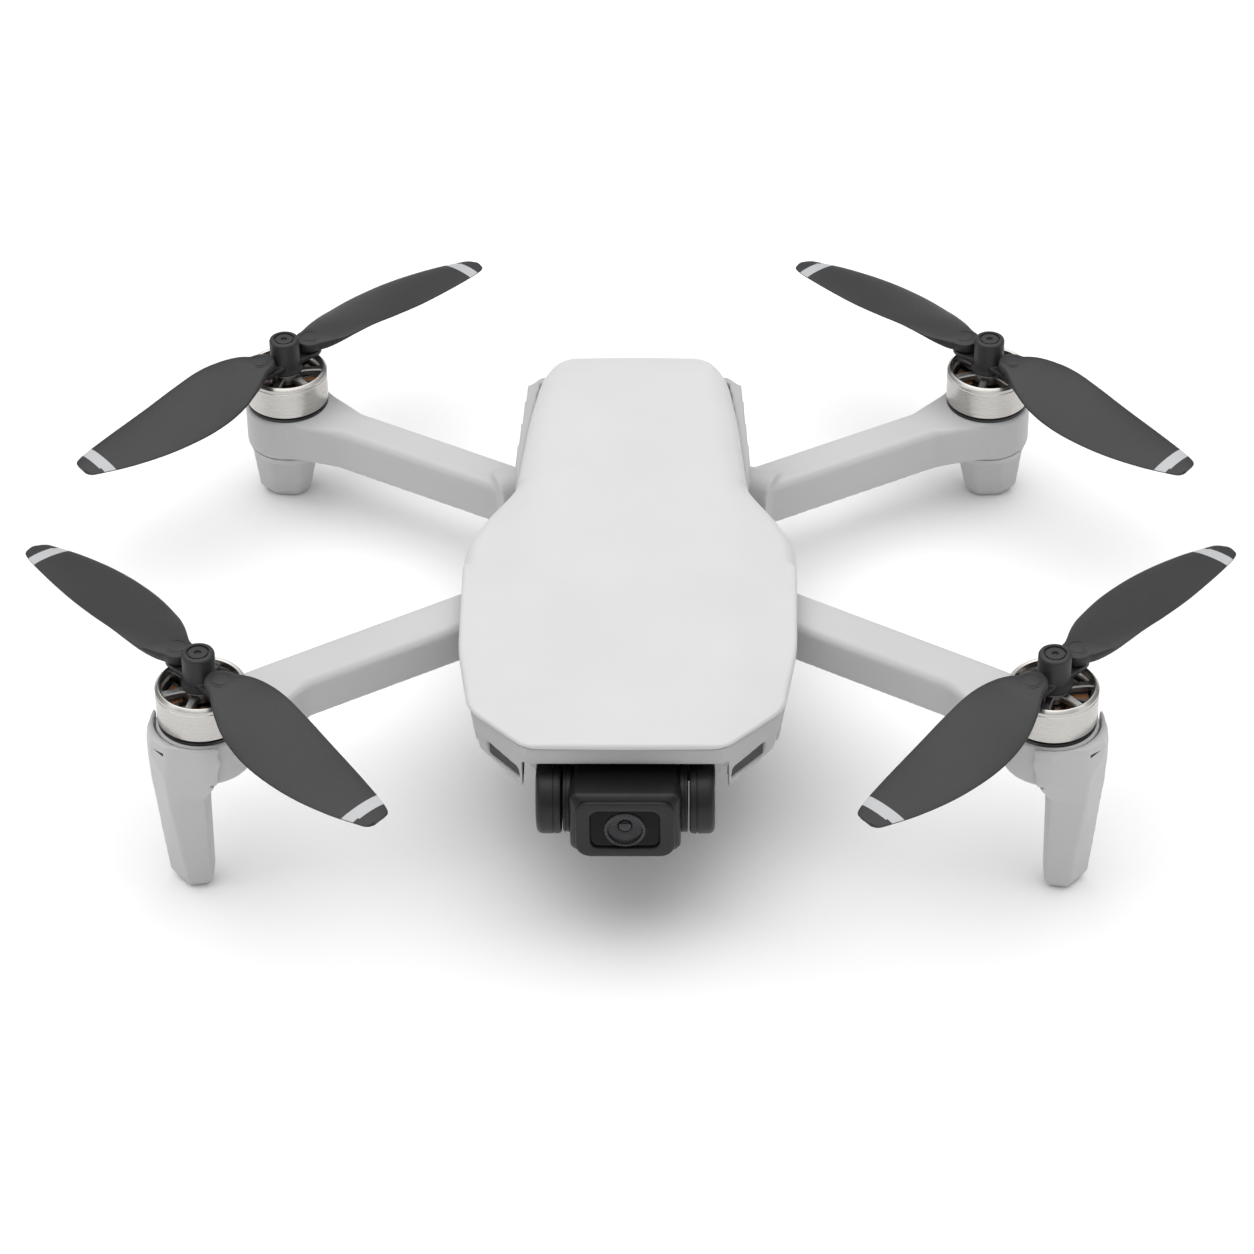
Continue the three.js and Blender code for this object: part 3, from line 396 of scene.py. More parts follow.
def softened(node, settings, cuts=()):
    mesh = softForm(f"soft_{node}", plainCopy(node, node), settings)
    if cuts:
        mesh = carve(mesh, cuts)
    piece = newPiece(f"soft_{node}", mesh, finishes[slotOf[node]], 180)
    return fit(piece, bodyOf[node], slotOf[node], node)


def smoothStep(low, high, value):
    share = min(1.0, max(0.0, (value - low) / (high - low)))
    return share * share * (3 - 2 * share)


def along(stations, at):
    # smooth curve through (place, value) stations
    if at <= stations[0][0]:
        return stations[0][1]
    for (x0, y0), (x1, y1) in zip(stations, stations[1:]):
        if at <= x1:
            i = stations.index((x0, y0))
            before = stations[max(i - 1, 0)]
            after = stations[min(i + 2, len(stations) - 1)]
            m0 = (y1 - before[1]) / (x1 - before[0])
            m1 = (after[1] - y0) / (after[0] - x0)
            t, span = (at - x0) / (x1 - x0), x1 - x0
            return ((2 * t**3 - 3 * t**2 + 1) * y0 + (t**3 - 2 * t**2 + t) * span * m0
                    + (3 * t**2 - 2 * t**3) * y1 + (t**3 - t**2) * span * m1)
    return stations[-1][1]


def roundedLoop(corners, step=0.8):
    # corners are (x, y, cut): each corner is eased over its cut length, then the loop is evenly spaced
    path = []
    count = len(corners)
    for i, (x, y, cutLength) in enumerate(corners):
        here = Vector((x, y))
        before = Vector(corners[i - 1][:2])
        after = Vector(corners[(i + 1) % count][:2])
        if cutLength <= 0:
            path.append(here)
            continue
        start = here + (before - here).normalized() * min(cutLength, (before - here).length * 0.49)
        end = here + (after - here).normalized() * min(cutLength, (after - here).length * 0.49)
        for k in range(13):
            t = k / 12
            path.append((1 - t) ** 2 * start + 2 * t * (1 - t) * here + t * t * end)
    lengths = [0.0]
    for a, b in zip(path, path[1:] + path[:1]):
        lengths.append(lengths[-1] + (b - a).length)
    total = lengths[-1]
    samples = int(total / step)
    loop, k = [], 0
    for i in range(samples):
        target = total * i / samples
        while lengths[k + 1] < target:
            k += 1
        share = (target - lengths[k]) / max(lengths[k + 1] - lengths[k], 1e-9)
        loop.append(path[k].lerp(path[(k + 1) % len(path)], share))
    return loop


print("stage: cover")
cover = {
    # half outline from the nose to the tail: x, y, easing of the corner
    "outline": [(0, -86.7, 0), (19.8, -86.4, 3), (31.6, -71.9, 4), (34.4, -52, 4), (34.7, -27, 4),
                (34.7, -16.9, 4), (31.9, -8.4, 5), (24.6, 4.2, 6), (24.2, 10, 4), (22.8, 28, 6),
                (20.5, 45, 5), (16.2, 52.6, 5.5), (0, 52.9, 0)],
    "deck": 46.95,
    "creases": [(-85, 18.6), (-74, 20.6), (-40, 21.4), (-6, 21.0), (20, 19.4), (46, 16.6), (53, 12)],
    "edgeDrop": [(-85, 0.35), (-78, 1.3), (-71, 2.1), (-52, 2.45), (-27, 2.45), (0, 2.4),
                 (10, 2.3), (28, 2.1), (53, 2.0)],
    "edgeSoftness": 0.9,
    "crown": 0.2,
    "edgeRound": (0.35, 3.0),
    "edgeLip": 0.3,
    "tailEnd": 52.9,
    "rims": [(-86, 45.8), (-84.4, 45.65), (-71, 43.75), (-66, 43.2), (-23.6, 43.2), (-22.6, 39.3),
             (4.2, 39.3), (5.4, 42.35), (53, 42.35)],
    "tailDrop": 2.2,
    "tailFrom": 40,
    "wall": 1.2,
    "rings": 34,
}


def level(stations, at):
    for (x0, y0), (x1, y1) in zip(stations, stations[1:]):
        if at <= x1:
            return y0 + (y1 - y0) * max(0.0, (at - x0)) / (x1 - x0)
    return stations[-1][1]


def coverOutline():
    half = cover["outline"]
    other = [(-x, y, ease) for x, y, ease in reversed(half) if x > 0]
    return roundedLoop(half + other, 0.7)


def makeCover():
    loop = coverOutline()
    edge = np.array([(p.x, p.y) for p in loop])
    follow = np.roll(edge, -1, axis=0)
    span = follow - edge
    spanSquared = (span ** 2).sum(axis=1)

    def fromEdge(x, y):
        rel = np.array((x, y)) - edge
        share = np.clip((rel * span).sum(axis=1) / spanSquared, 0, 1)[:, None]
        return float(np.sqrt((((edge + span * share) - (x, y)) ** 2).sum(axis=1)).min())

    right = edge[edge[:, 0] > 0]
    right = right[np.argsort(right[:, 1])]

    def halfWidth(y):
        return float(np.interp(y, right[:, 1], right[:, 0]))

    def heightAt(x, y):
        crease = along(cover["creases"], y)
        wide = max(halfWidth(y), crease + 1.2)
        share = (abs(x) - crease) / (wide - crease)
        softness = cover["edgeSoftness"] / (wide - crease)
        bend = softness * math.log1p(math.exp(min(share / softness, 40)))
        sideLoss = along(cover["edgeDrop"], y) * bend
        tail = max(0.0, (y - cover["tailFrom"]) / (cover["tailEnd"] - cover["tailFrom"]))
        tailLoss = cover["tailDrop"] * tail ** 2.4
        fall = cover["crown"] * (min(abs(x), crease) / crease) ** 2
        return cover["deck"] - fall - (sideLoss ** 3 + tailLoss ** 3) ** (1 / 3)

    rims = [level(cover["rims"], p.y) for p in loop]
    least, most = cover["edgeRound"]
    rounds = [min(most, max(least, heightAt(p.x, p.y) - rim - cover["edgeLip"]))
              for p, rim in zip(loop, rims)]
    rings = [[(p.x * mm, p.y * mm, rim * mm) for p, rim in zip(loop, rims)]]
    tops = [heightAt(p.x, p.y) - r for p, r in zip(loop, rounds)]
    for share in (0.33, 0.66):
        rings.append([(p.x * mm, p.y * mm, (rim + (top - rim) * share) * mm)
                      for p, rim, top in zip(loop, rims, tops)])
    for row in range(cover["rings"]):
        reach = (row / cover["rings"]) ** 1.9
        ring = []
        for p, r in zip(loop, rounds):
            spine = Vector((p.x * 0.08, min(max(p.y, -70), 38)))
            place = p.lerp(spine, reach)
            depth = fromEdge(place.x, place.y) if row else 0.0
            inside = max(0.0, r - depth)
            drop = r - math.sqrt(max(0.0, r * r - inside * inside))
            ring.append((place.x * mm, place.y * mm, (heightAt(place.x, place.y) - drop) * mm))
        rings.append(ring)
    points, faces = ringSkin(rings, capped=False)
    start = (len(rings) - 1) * len(loop)
    faces.append(tuple(start + i for i in range(len(loop))))
    mesh = meshOf("cover", points, faces)
    form = bmesh.new()
    form.from_mesh(mesh)
    if sum(face.normal.z * face.calc_area() for face in form.faces) < 0:
        bmesh.ops.reverse_faces(form, faces=form.faces)
    form.to_mesh(mesh)
    form.free()
    blank = bpy.data.objects.new("cover", mesh)
    bpy.context.collection.objects.link(blank)
    wallMaker = blank.modifiers.new("wall", "SOLIDIFY")
    wallMaker.thickness = cover["wall"] * mm
    wallMaker.offset = -1
    piece = newPiece("cover", bakedMesh(blank), finishes["cover_plastic"], 60)
    fit(piece, "airframe", "cover_plastic", "top_shell")


makeCover()


print("stage: frame, arms and legs")
softSet = {
    "mid_frame": {"grain": 0.5, "rounds": 6, "keep": 0.4},
    "bottom_shell": {"grain": 0.55, "rounds": 5, "keep": 0.4},
    "battery_door": {"grain": 0.4, "rounds": 4},
    "front_arm": {"grain": 0.42, "rounds": 9},
    "rear_arm": {"grain": 0.42, "rounds": 9},
    "front_leg": {"grain": 0.36, "rounds": 9},
    "rear_foot": {"grain": 0.36, "rounds": 9},
}
# the slanted pocket in the top of each front leg's shoulder
pocket = {
    "podTop": 38.6,
    "angle": -41,
    "size": (5.6, 2.8, 2.6),
    "taper": 0.8,
    "reach": 10.2,
    "drop": 2.3,
    "tilt": 58,
}


def pocketTool(side):
    axis = pivotOf(f"front_{side}_rotor_spin")
    sign = 1 if side == "right" else -1
    top = Vector((axis.x, axis.y, pocket["podTop"] * mm))
    angle = math.radians(pocket["angle"])
    outward = Vector((sign * math.cos(angle), math.sin(angle), 0))
    beside = Vector((-outward.y, outward.x, 0))
    tilt = math.radians(pocket["tilt"])
    face = outward * math.cos(tilt) + Vector((0, 0, 1)) * math.sin(tilt)
    climb = face.cross(beside)
    wide, tall, deep = (value / 2 * mm for value in pocket["size"])
    centre = top + outward * pocket["reach"] * mm - Vector((0, 0, pocket["drop"])) * mm
    taper = pocket["taper"]
    points = [centre + beside * a * wide + climb * b * tall + face * c * deep
              for c in (-1, 1) for a, b in ((-taper, -1), (taper, -1), (1, 1), (-1, 1))]
    faces = [(0, 1, 2, 3), (4, 7, 6, 5), (0, 4, 5, 1), (1, 5, 6, 2), (2, 6, 7, 3), (3, 7, 4, 0)]
    return meshOf("pocketCut", points, faces)


for node in ("mid_frame", "bottom_shell", "battery_door"):
    softened(node, softSet[node])
for side in ("right", "left"):
    for limb in ("front_arm", "rear_arm", "rear_foot"):
        softened(f"{side}_{limb}", softSet[limb])
    softened(f"{side}_front_leg", softSet["front_leg"], cuts=[pocketTool(side)])

# half widths, then the ends along the body and in height
liner = {
    "inner": 22.1,
    "outer": 22.9,
    "front": -20,
    "back": 5.2,
    "low": 33.5,
    "high": 43.1,
    "edge": 0.3,
    "edgeSteps": 3,
}


def makeLiner(side):
    # closes the flank behind the shoulder, between the frame and the cover
    sign = 1 if side == "right" else -1
    points = [(sign * x * mm, y * mm, z * mm) for x in (liner["inner"], liner["outer"])
              for y in (liner["front"], liner["back"]) for z in (liner["low"], liner["high"])]
    faces = [(0, 1, 3, 2), (4, 6, 7, 5), (0, 4, 5, 1), (2, 3, 7, 6), (0, 2, 6, 4), (1, 5, 7, 3)]
    blank = bpy.data.objects.new("liner", meshOf("liner", points, faces))
    bpy.context.collection.objects.link(blank)
    edges = blank.modifiers.new("edges", "BEVEL")
    edges.width = liner["edge"] * mm
    edges.segments = liner["edgeSteps"]
    piece = newPiece(f"flank_liner_{side}", bakedMesh(blank), finishes["frame_plastic"], 40)
    fit(piece, "airframe", "frame_plastic")


for side in ("right", "left"):
    makeLiner(side)


print("stage: propellers")
blade = {
    "pivotRadius": 7.2,
    "rootRadius": 3.4,
    "rootLow": 10.4,
    "rootHigh": 12.9,
    # distance from the rotor axis, then the value there
    "lead": [(7.2, 3.3), (9, 4.4), (13, 5.8), (18, 6.2), (26, 5.9), (34, 5.2), (42, 4.3),
             (50, 3.2), (55.5, 2.2), (58.5, 1.2)],
    "trail": [(7.2, -3.3), (9, -4.2), (13, -6.4), (18, -8.4), (26, -10.0), (34, -10.2),
              (42, -9.3), (50, -7.3), (55.5, -5.2), (58.5, -3.9)],
    "middle": [(7.2, 0.1), (14, 0.1), (20, -0.3), (28, -0.9), (36, -1.4), (45, -1.9), (58.5, -2.6)],
    "leadRise": [(7.2, 0), (12, 0.8), (20, 1.7), (28, 1.3), (36, 0.7), (45, 0.4), (58.5, 0.1)],
    "trailDrop": [(7.2, 0), (12, 0.8), (20, 1.8), (28, 1.8), (36, 1.5), (45, 1.1), (58.5, 0.4)],
    "thickness": [(7.2, 2.5), (9.6, 2.3), (13, 1.5), (20, 1.1), (30, 0.95), (45, 0.8), (58.5, 0.62)],
    "arch": [(7.2, 0), (14, 0.25), (30, 0.5), (58.5, 0.2)],
    "tipRound": 1.2,
    "reach": 58.45,
    "stripe": (53.9, 56.6),
    "spanSteps": 110,
    "chordSteps": 22,
    # share of the span steps drawn towards the ends
    "endSpacing": 0.45,
    # how full the section is at the root and how much fuller it gets between these distances
    "rootFullness": 0.12,
    "outerFullness": 0.26,
    "fullnessFrom": (10, 18),
    "edgeShare": 0.3,
    "rootLift": 0.1,
    # radius and height above the blade's top of the cap over each pivot
    "cap": [(0, -0.5), (2.3, -0.5), (2.3, 0.04), (2.2, 0.12), (2.0, 0.12), (1.94, 0.0), (1.8, 0.0),
            (1.72, 0.15), (1.4, 0.2), (0, 0.22)],
}


def bladeEdges(r):
    # leading and trailing edge at this distance: a round root, the blade, and an eased tip
    root = blade["rootRadius"]
    if r < blade["pivotRadius"]:
        share = math.sqrt(max(0.0, 1 - ((blade["pivotRadius"] - r) / root) ** 2))
        return blade["lead"][0][1] * share, blade["trail"][0][1] * share
    lead, trail = along(blade["lead"], r), along(blade["trail"], r)
    ease = blade["tipRound"]
    start = blade["reach"] - ease
    if r > start:
        pull = 1 - math.sqrt(max(0.0, 1 - ((r - start) / ease) ** 2))
        lead, trail = lead - pull * ease, trail + pull * ease
    return lead, trail


def bladeMesh(name, hand):
    rootStart = blade["pivotRadius"] - blade["rootRadius"]
    middleHeight = (blade["rootLow"] + blade["rootHigh"]) / 2
    steps, chord = blade["spanSteps"], blade["chordSteps"]
    rings, distances = [], []
    for k in range(steps + 1):
        share = k / steps
        ease = 0.5 - 0.5 * math.cos(math.pi * share)
        spaced = (1 - blade["endSpacing"]) * share + blade["endSpacing"] * ease
        r = rootStart + (blade["reach"] - rootStart) * spaced
        lead, trail = bladeEdges(r)
        rise, up, down = (along(blade[key], r) for key in ("middle", "leadRise", "trailDrop"))
        thick, arch = along(blade["thickness"], r), along(blade["arch"], r)
        if r < blade["pivotRadius"]:
            rise, up, down, arch = blade["rootLift"], 0, 0, 0
        blunt = blade["rootFullness"] + blade["outerFullness"] * smoothStep(*blade["fullnessFrom"], r)
        upper, lower = [], []
        for i in range(chord + 1):
            u = 0.5 - 0.5 * math.cos(math.pi * i / chord)
            z = middleHeight + rise + up * (1 - u) - down * u + arch * (1 - (2 * u - 1) ** 2)
            body = (4 * u * (1 - u)) ** blunt if 0 < i < chord else 0.0
            floor = blade["edgeShare"] if 0 < i < chord else 0.0
            half = thick / 2 * max(body, floor)
            y = hand * (lead + (trail - lead) * u)
            upper.append((r * mm, y * mm, (z + half) * mm))
            lower.append((r * mm, y * mm, (z - half) * mm))
        rings.append(upper + lower[-2:0:-1])
        distances.append(r)
    points, faces = ringSkin(rings)
    return meshOf(name, points, faces)


def paintStripe(mesh, centre, heading):
    # the light band near the tip is its own finish
    low, high = (value * mm for value in blade["stripe"])
    for polygon in mesh.polygons:
        away = Vector(polygon.center) - centre
        reach = away.dot(heading)
        slant = 0.12 * abs(away.cross(heading).length)
        polygon.material_index = 1 if low < reach + slant < high and polygon.normal.z > 0.3 else 0
        if abs(polygon.normal.z) < 0.45 and reach > low * 0.25:
            polygon.material_index = 2


def placedMesh(mesh, place):
    mesh.transform(place)
    mesh.update()
    return mesh


def pivotCap(centre):
    # flat cap with a fine groove round it where the blade turns on its pin
    profile = [(radius, blade["rootHigh"] + rise) for radius, rise in blade["cap"]]
    return lathed("pivotCap", profile, centre, sides=40)


def joined(name, meshes):
    form = bmesh.new()
    for mesh in meshes:
        form.from_mesh(mesh)
    whole = bpy.data.meshes.new(name)
    form.to_mesh(whole)
    form.free()
    return whole


hubSet = {
    "radius": 3.3,
    "top": 15.75,
    "grain": 0.24,
    "rounds": 3,
    # distance outside the hub's radius, then the height
    "foot": [(0.55, 7.9), (0.6, 8.2), (0.3, 8.7), (0.06, 9.4)],
    # distance outside the hub's radius, then the height above its top
    "crown": [(0.06, -0.55), (-0.08, -0.2), (-0.45, 0), (-0.95, 0.02), (-1.05, -0.4), (-1.3, -0.4),
              (-1.4, -0.08)],
    # radius and height above the top of the hole in the middle
    "hole": [(0.75, -0.04), (0.6, -0.2), (0.55, -0.9), (0, -0.9)],
}
hands = {"front_right": 1, "front_left": -1, "rear_right": -1, "rear_left": 1}


def makePropeller(corner):
    axis = pivotOf(f"{corner}_rotor_spin")
    base = Vector((axis.x, axis.y, axis.z))
    for suffix in ("a", "b"):
        pin = pivotOf(f"{corner}_blade_{suffix}_fold")
        heading = Vector((pin.x - axis.x, pin.y - axis.y, 0)).normalized()
        turn = math.atan2(heading.y, heading.x)
        place = Matrix.Translation(base) @ Matrix.Rotation(turn, 4, "Z")
        mesh = placedMesh(bladeMesh(f"{corner}_blade_{suffix}", -hands[corner]), place)
        capPlace = Vector((pin.x, pin.y, base.z))
        whole = joined(f"{corner}Blade{suffix}", [mesh, pivotCap(capPlace)])
        piece = newPiece(f"{corner}_blade_{suffix}_form", whole, finishes["propeller_plastic"], 50)
        whole.materials.append(stripeFinish)
        whole.materials.append(finishes["dark_plastic"])
        paintStripe(whole, base, heading)
        fit(piece, f"{corner}_blade_{suffix}", "propeller_plastic", f"{corner}_blade_{suffix}")
    top, radius = hubSet["top"], hubSet["radius"]
    profile = [(0, hubSet["foot"][0][1])]
    profile += [(radius + out, height) for out, height in hubSet["foot"]]
    profile += [(radius + out, top + rise) for out, rise in hubSet["crown"]]
    profile += [(hole, top + rise) for hole, rise in hubSet["hole"]]
    form = lathed("hubCap", profile, base, sides=72)
    cap = newPiece(f"{corner}_hub_cap", form, finishes["propeller_plastic"], 40)
    fit(cap, f"{corner}_rotor", "propeller_plastic")
    softened(f"{corner}_prop_hub", hubSet)


stripeFinish = mouldedPlastic("stripePaint", (0.46, 0.465, 0.475), 0.4)
for corner in corners:
    makePropeller(corner)

print("stage: motors")
motor = {
    "radius": 9.2,
    "inner": 8.1,
    "height": 8.0,
    "boss": [(0, 4.7), (1.6, 4.7), (1.6, 5.2), (3.2, 5.2), (3.4, 5.4), (3.4, 7.3), (3.15, 7.6),
             (0, 7.6)],
    # distance inside the outer radius, then the height
    "skirt": [(0.25, 0), (0, 0.25)],
    # distance inside the outer radius, then the depth below the top
    "rim": [(0, 1.5), (0.12, 1.42), (0.12, 1.2), (0, 1.12), (0, 0.62), (0.55, 0.04), (0.62, 0)],
    # distance inside the inner radius, then the depth below the top
    "lip": [(-0.25, 0), (0, 0.2), (0, 1.6), (0.35, 2.0), (0.35, 2.6), (0, 2.9)],
    "magnets": [(0.02, 0.5), (0.02, 4.9), (0.5, 4.9), (0.5, 0.5), (0.02, 0.5)],
    # distance inside the outer radius, then the height
    "seat": [(0.1, -1.0), (0.1, -0.35), (0.5, -0.3), (0.5, -0.12)],
}
spoke = {
    "count": 6,
    "reach": (2.8, 8.4),
    "width": 1.7,
    "heights": (5.9, 7.2),
    "drop": 0.5,
    "flare": 0.55,
    "chamfer": 0.25,
    "steps": 8,
    "startAngle": 14,
}
coil = {
    "count": 9,
    "wraps": 6,
    "stepsPerWrap": 6,
    "reach": (3.9, 7.0),
    "half": (0.75, 1.2),
    "heights": (0.35, 4.75),
    "ridge": 0.13,
    "corner": 0.5,
}


def ringTree():
    # repeats one form round a centre line
    tree = bpy.data.node_groups.new("ringOfCopies", "GeometryNodeTree")
    tree.interface.new_socket("Geometry", in_out="OUTPUT", socket_type="NodeSocketGeometry")
    tree.interface.new_socket("Form", in_out="INPUT", socket_type="NodeSocketGeometry")
    tree.interface.new_socket("Count", in_out="INPUT", socket_type="NodeSocketInt")
    tree.interface.new_socket("Centre", in_out="INPUT", socket_type="NodeSocketVector")
    tree.interface.new_socket("Start Angle", in_out="INPUT", socket_type="NodeSocketFloat")
    tree.interface.new_socket("Finish", in_out="INPUT", socket_type="NodeSocketMaterial")
    nodes, links = tree.nodes, tree.links
    entry = nodes.new("NodeGroupInput")
    leave = nodes.new("NodeGroupOutput")
    row = nodes.new("GeometryNodeMeshLine")
    copies = nodes.new("GeometryNodeInstanceOnPoints")
    index = nodes.new("GeometryNodeInputIndex")
    turn = nodes.new("ShaderNodeMath")
    turn.operation = "DIVIDE"
    full = nodes.new("ShaderNodeMath")
    full.operation = "MULTIPLY_ADD"
    full.inputs[1].default_value = 2 * math.pi
    combine = nodes.new("ShaderNodeCombineXYZ")
    real = nodes.new("GeometryNodeRealizeInstances")
    paint = nodes.new("GeometryNodeSetMaterial")
    links.new(entry.outputs["Count"], row.inputs["Count"])
    links.new(entry.outputs["Centre"], row.inputs["Start Location"])
    row.inputs["Offset"].default_value = (0, 0, 0)
    links.new(row.outputs["Mesh"], copies.inputs["Points"])
    links.new(entry.outputs["Form"], copies.inputs["Instance"])
    links.new(index.outputs["Index"], turn.inputs[0])
    links.new(entry.outputs["Count"], turn.inputs[1])
    links.new(turn.outputs["Value"], full.inputs[0])
    links.new(entry.outputs["Start Angle"], full.inputs[2])
    links.new(full.outputs["Value"], combine.inputs["Z"])
    links.new(combine.outputs["Vector"], copies.inputs["Rotation"])
    links.new(copies.outputs["Instances"], real.inputs["Geometry"])
    links.new(real.outputs["Geometry"], paint.inputs["Geometry"])
    links.new(entry.outputs["Finish"], paint.inputs["Material"])
    links.new(paint.outputs["Geometry"], leave.inputs["Geometry"])
    return tree


ringOfCopies = ringTree()


def repeated(name, mesh, count, centre, material, startAngle=0.0):
    # the form lies about the origin; its copies go round a vertical line through the centre
    blank = bpy.data.objects.new(name, mesh)
    bpy.context.collection.objects.link(blank)
    ring = blank.modifiers.new("ring", "NODES")
    ring.node_group = ringOfCopies
    sockets = ringOfCopies.interface.items_tree
    named = {item.name: item.identifier for item in sockets if item.in_out == "INPUT"}
    ring[named["Count"]] = count
    ring[named["Centre"]] = tuple(centre)
    ring[named["Start Angle"]] = startAngle
    ring[named["Finish"]] = material
    return bakedMesh(blank)


def spokeForm():
    # a web that thickens towards the boss and the rim
    inner, outer = spoke["reach"]
    rings = []
    for k in range(spoke["steps"] + 1):
        share = k / spoke["steps"]
        flare = 1 + spoke["flare"] * (2 * share - 1) ** 4
        radius = inner + (outer - inner) * share
        low, high = (height - spoke["drop"] * share for height in spoke["heights"])
        w, c = spoke["width"] / 2 * flare, spoke["chamfer"]
        rings.append([(radius * mm, y * mm, z * mm) for y, z in (
            (-w, low), (w, low), (w, high - c), (w - c, high), (-w + c, high), (-w, high - c))])
    points, faces = ringSkin(rings)
    return meshOf("spoke", points, faces)


def coilForm():
    # one wound tooth: ridges of wire across the tooth
    steps = coil["wraps"] * coil["stepsPerWrap"]
    corner, (inner, outer) = coil["corner"], coil["reach"]
    bottom, top = coil["heights"]
    middle = (bottom + top) / 2
    rings = []
    for k in range(steps + 1):
        share = k / steps
        radius = inner + (outer - inner) * share
        wave = coil["ridge"] * abs(math.sin(math.pi * coil["wraps"] * share))
        half = coil["half"][0] + (coil["half"][1] - coil["half"][0]) * share + wave
        low, high = bottom - wave, top + wave
        ring = []
        for y, z, a in ((half, high, 0), (-half, high, 90), (-half, low, 180), (half, low, 270)):
            for step in range(4):
                angle = math.radians(a + 30 * step)
                across = y - math.copysign(corner, y) + corner * math.cos(angle)
                height = (z - corner if z > middle else z + corner) + corner * math.sin(angle)
                ring.append((radius * mm, across * mm, height * mm))
        rings.append(ring)
    points, faces = ringSkin(rings)
    return meshOf("coil", points, faces)


def makeMotor(corner):
    centre = pivotOf(f"{corner}_rotor_spin")
    arm = jointOf[f"{corner}_rotor_spin"]["parent"]
    outer, inner, high = motor["radius"], motor["inner"], motor["height"]

    def turned(name, profile, material, sides):
        return newPiece(f"{corner}_{name}", lathed(name, profile, centre, sides=sides), material, 40)

    shell = [(inner, 0.15), (inner + 0.15, 0)]
    shell += [(outer - depth, height) for depth, height in motor["skirt"]]
    shell += [(outer - depth, high - below) for depth, below in motor["rim"]]
    shell += [(inner - depth, high - below) for depth, below in motor["lip"]]
    shell.append(shell[0])
    rim = turned("bell_rim", shell, finishes["bell_metal"], 128)
    fit(rim, f"{corner}_rotor", "bell_metal", f"{corner}_bell")
    fit(turned("bell_boss", motor["boss"], darkMetal, 64), f"{corner}_rotor", "bell_metal")
    startAngle = math.radians(spoke["startAngle"])
    webs = repeated("spokes", spokeForm(), spoke["count"], centre, darkMetal, startAngle)
    fit(newPiece(f"{corner}_bell_spokes", webs, darkMetal, 40), f"{corner}_rotor", "bell_metal")
    magnets = [(inner - depth, height) for depth, height in motor["magnets"]]
    fit(turned("magnet_sleeve", magnets, finishes["dark_plastic"], 64), f"{corner}_rotor", "bell_metal")
    coils = repeated("coils", coilForm(), coil["count"], centre, finishes["stator_copper"])
    fit(newPiece(f"{corner}_windings", coils, finishes["stator_copper"], 50), arm, "stator_copper")
    plate = [(outer - depth, height) for depth, height in motor["seat"]]
    seat = [(0, plate[0][1]), *plate, (0, plate[-1][1])]
    fit(turned("motor_base", seat, finishes["dark_plastic"], 96), arm, "dark_plastic")
    frame["nodes"][f"{corner}_stator"].data.materials[0] = darkMetal


darkMetal = turnedMetal("darkMetal", (0.3, 0.295, 0.29), 0.36)
for corner in corners:
    makeMotor(corner)


print("stage: camera and stabiliser")
eye = {
    "centreZ": 31.2,
    "front": -92.6,
    "hingeY": -83.1,
    # half width, half height and corner radius
    "frame": (9.8, 6.85, 2.9),
    "window": (6.9, 4.75, 1.9),
    # sizes less than the frame's, then the distance in front of the front plane
    "frameSteps": [(0.1, 0.3), (0, 0.5), (0, 0.95), (0.12, 1.15), (0.4, 1.28)],
    # sizes more than the window's, the corner's too, then the distance as above
    "rebateSteps": [(0.35, 0.3, 1.28), (0.1, 0.1, 1.2), (0, 0, 1.0), (0, 0, 0.4)],
    "paneSteps": [(0.12, 0.42), (0.12, 0.72), (0.3, 0.8)],
    # radius, then the two ends of the bore for the lens
    "bore": (3.7, -3, 1.2),
    "lens": 4.0,
    "lensFloor": (1.4, 0.25),
    "ringCount": 7,
    "ringStart": (1.5, 0.15),
    "ringStep": (0.27, -0.1),
    "ringWidth": (0.2, -0.02),
    # distance outside the lens radius, then the distance along the axis
    "lensRim": [(-0.55, -0.7), (-0.45, -1.2), (-0.2, -1.32), (0.05, -1.25), (0.15, -1.05), (0.15, 1.4)],
    "glassRadius": 1.45,
    "glassBack": 0.15,
    "glassBase": 0.1,
    "glassHeight": 0.6,
    "discProfile": [(0, 10.6), (6.7, 10.6), (7.1, 10.9), (7.2, 11.2), (7.2, 11.6), (7.05, 11.68),
                    (7.05, 11.8), (7.2, 11.9), (7.2, 12.2), (7.0, 12.35), (0, 12.35)],
}
gimbalSoft = {"grain": 0.3, "rounds": 5}
bodySoft = {"grain": 0.3, "rounds": 14}


def roundedRectangle(halfWidth, halfHeight, radius, y, perCorner=8):
    ring = []
    for cx, cz, start in ((1, 1, 0), (-1, 1, 90), (-1, -1, 180), (1, -1, 270)):
        for k in range(perCorner + 1):
            angle = math.radians(start + 90 * k / perCorner)
            x = cx * (halfWidth - radius) + radius * math.cos(angle)
            z = cz * (halfHeight - radius) + radius * math.sin(angle)
            ring.append((x * mm, y * mm, (z + eye["centreZ"]) * mm))
    return ring


def boreTool():
    radius, front, back = eye["bore"]
    profile = [(0, front), (radius, front), (radius, back), (0, back)]
    return lathed("bore", profile, Vector((0, eye["front"], eye["centreZ"])) * mm, "Y", 64)


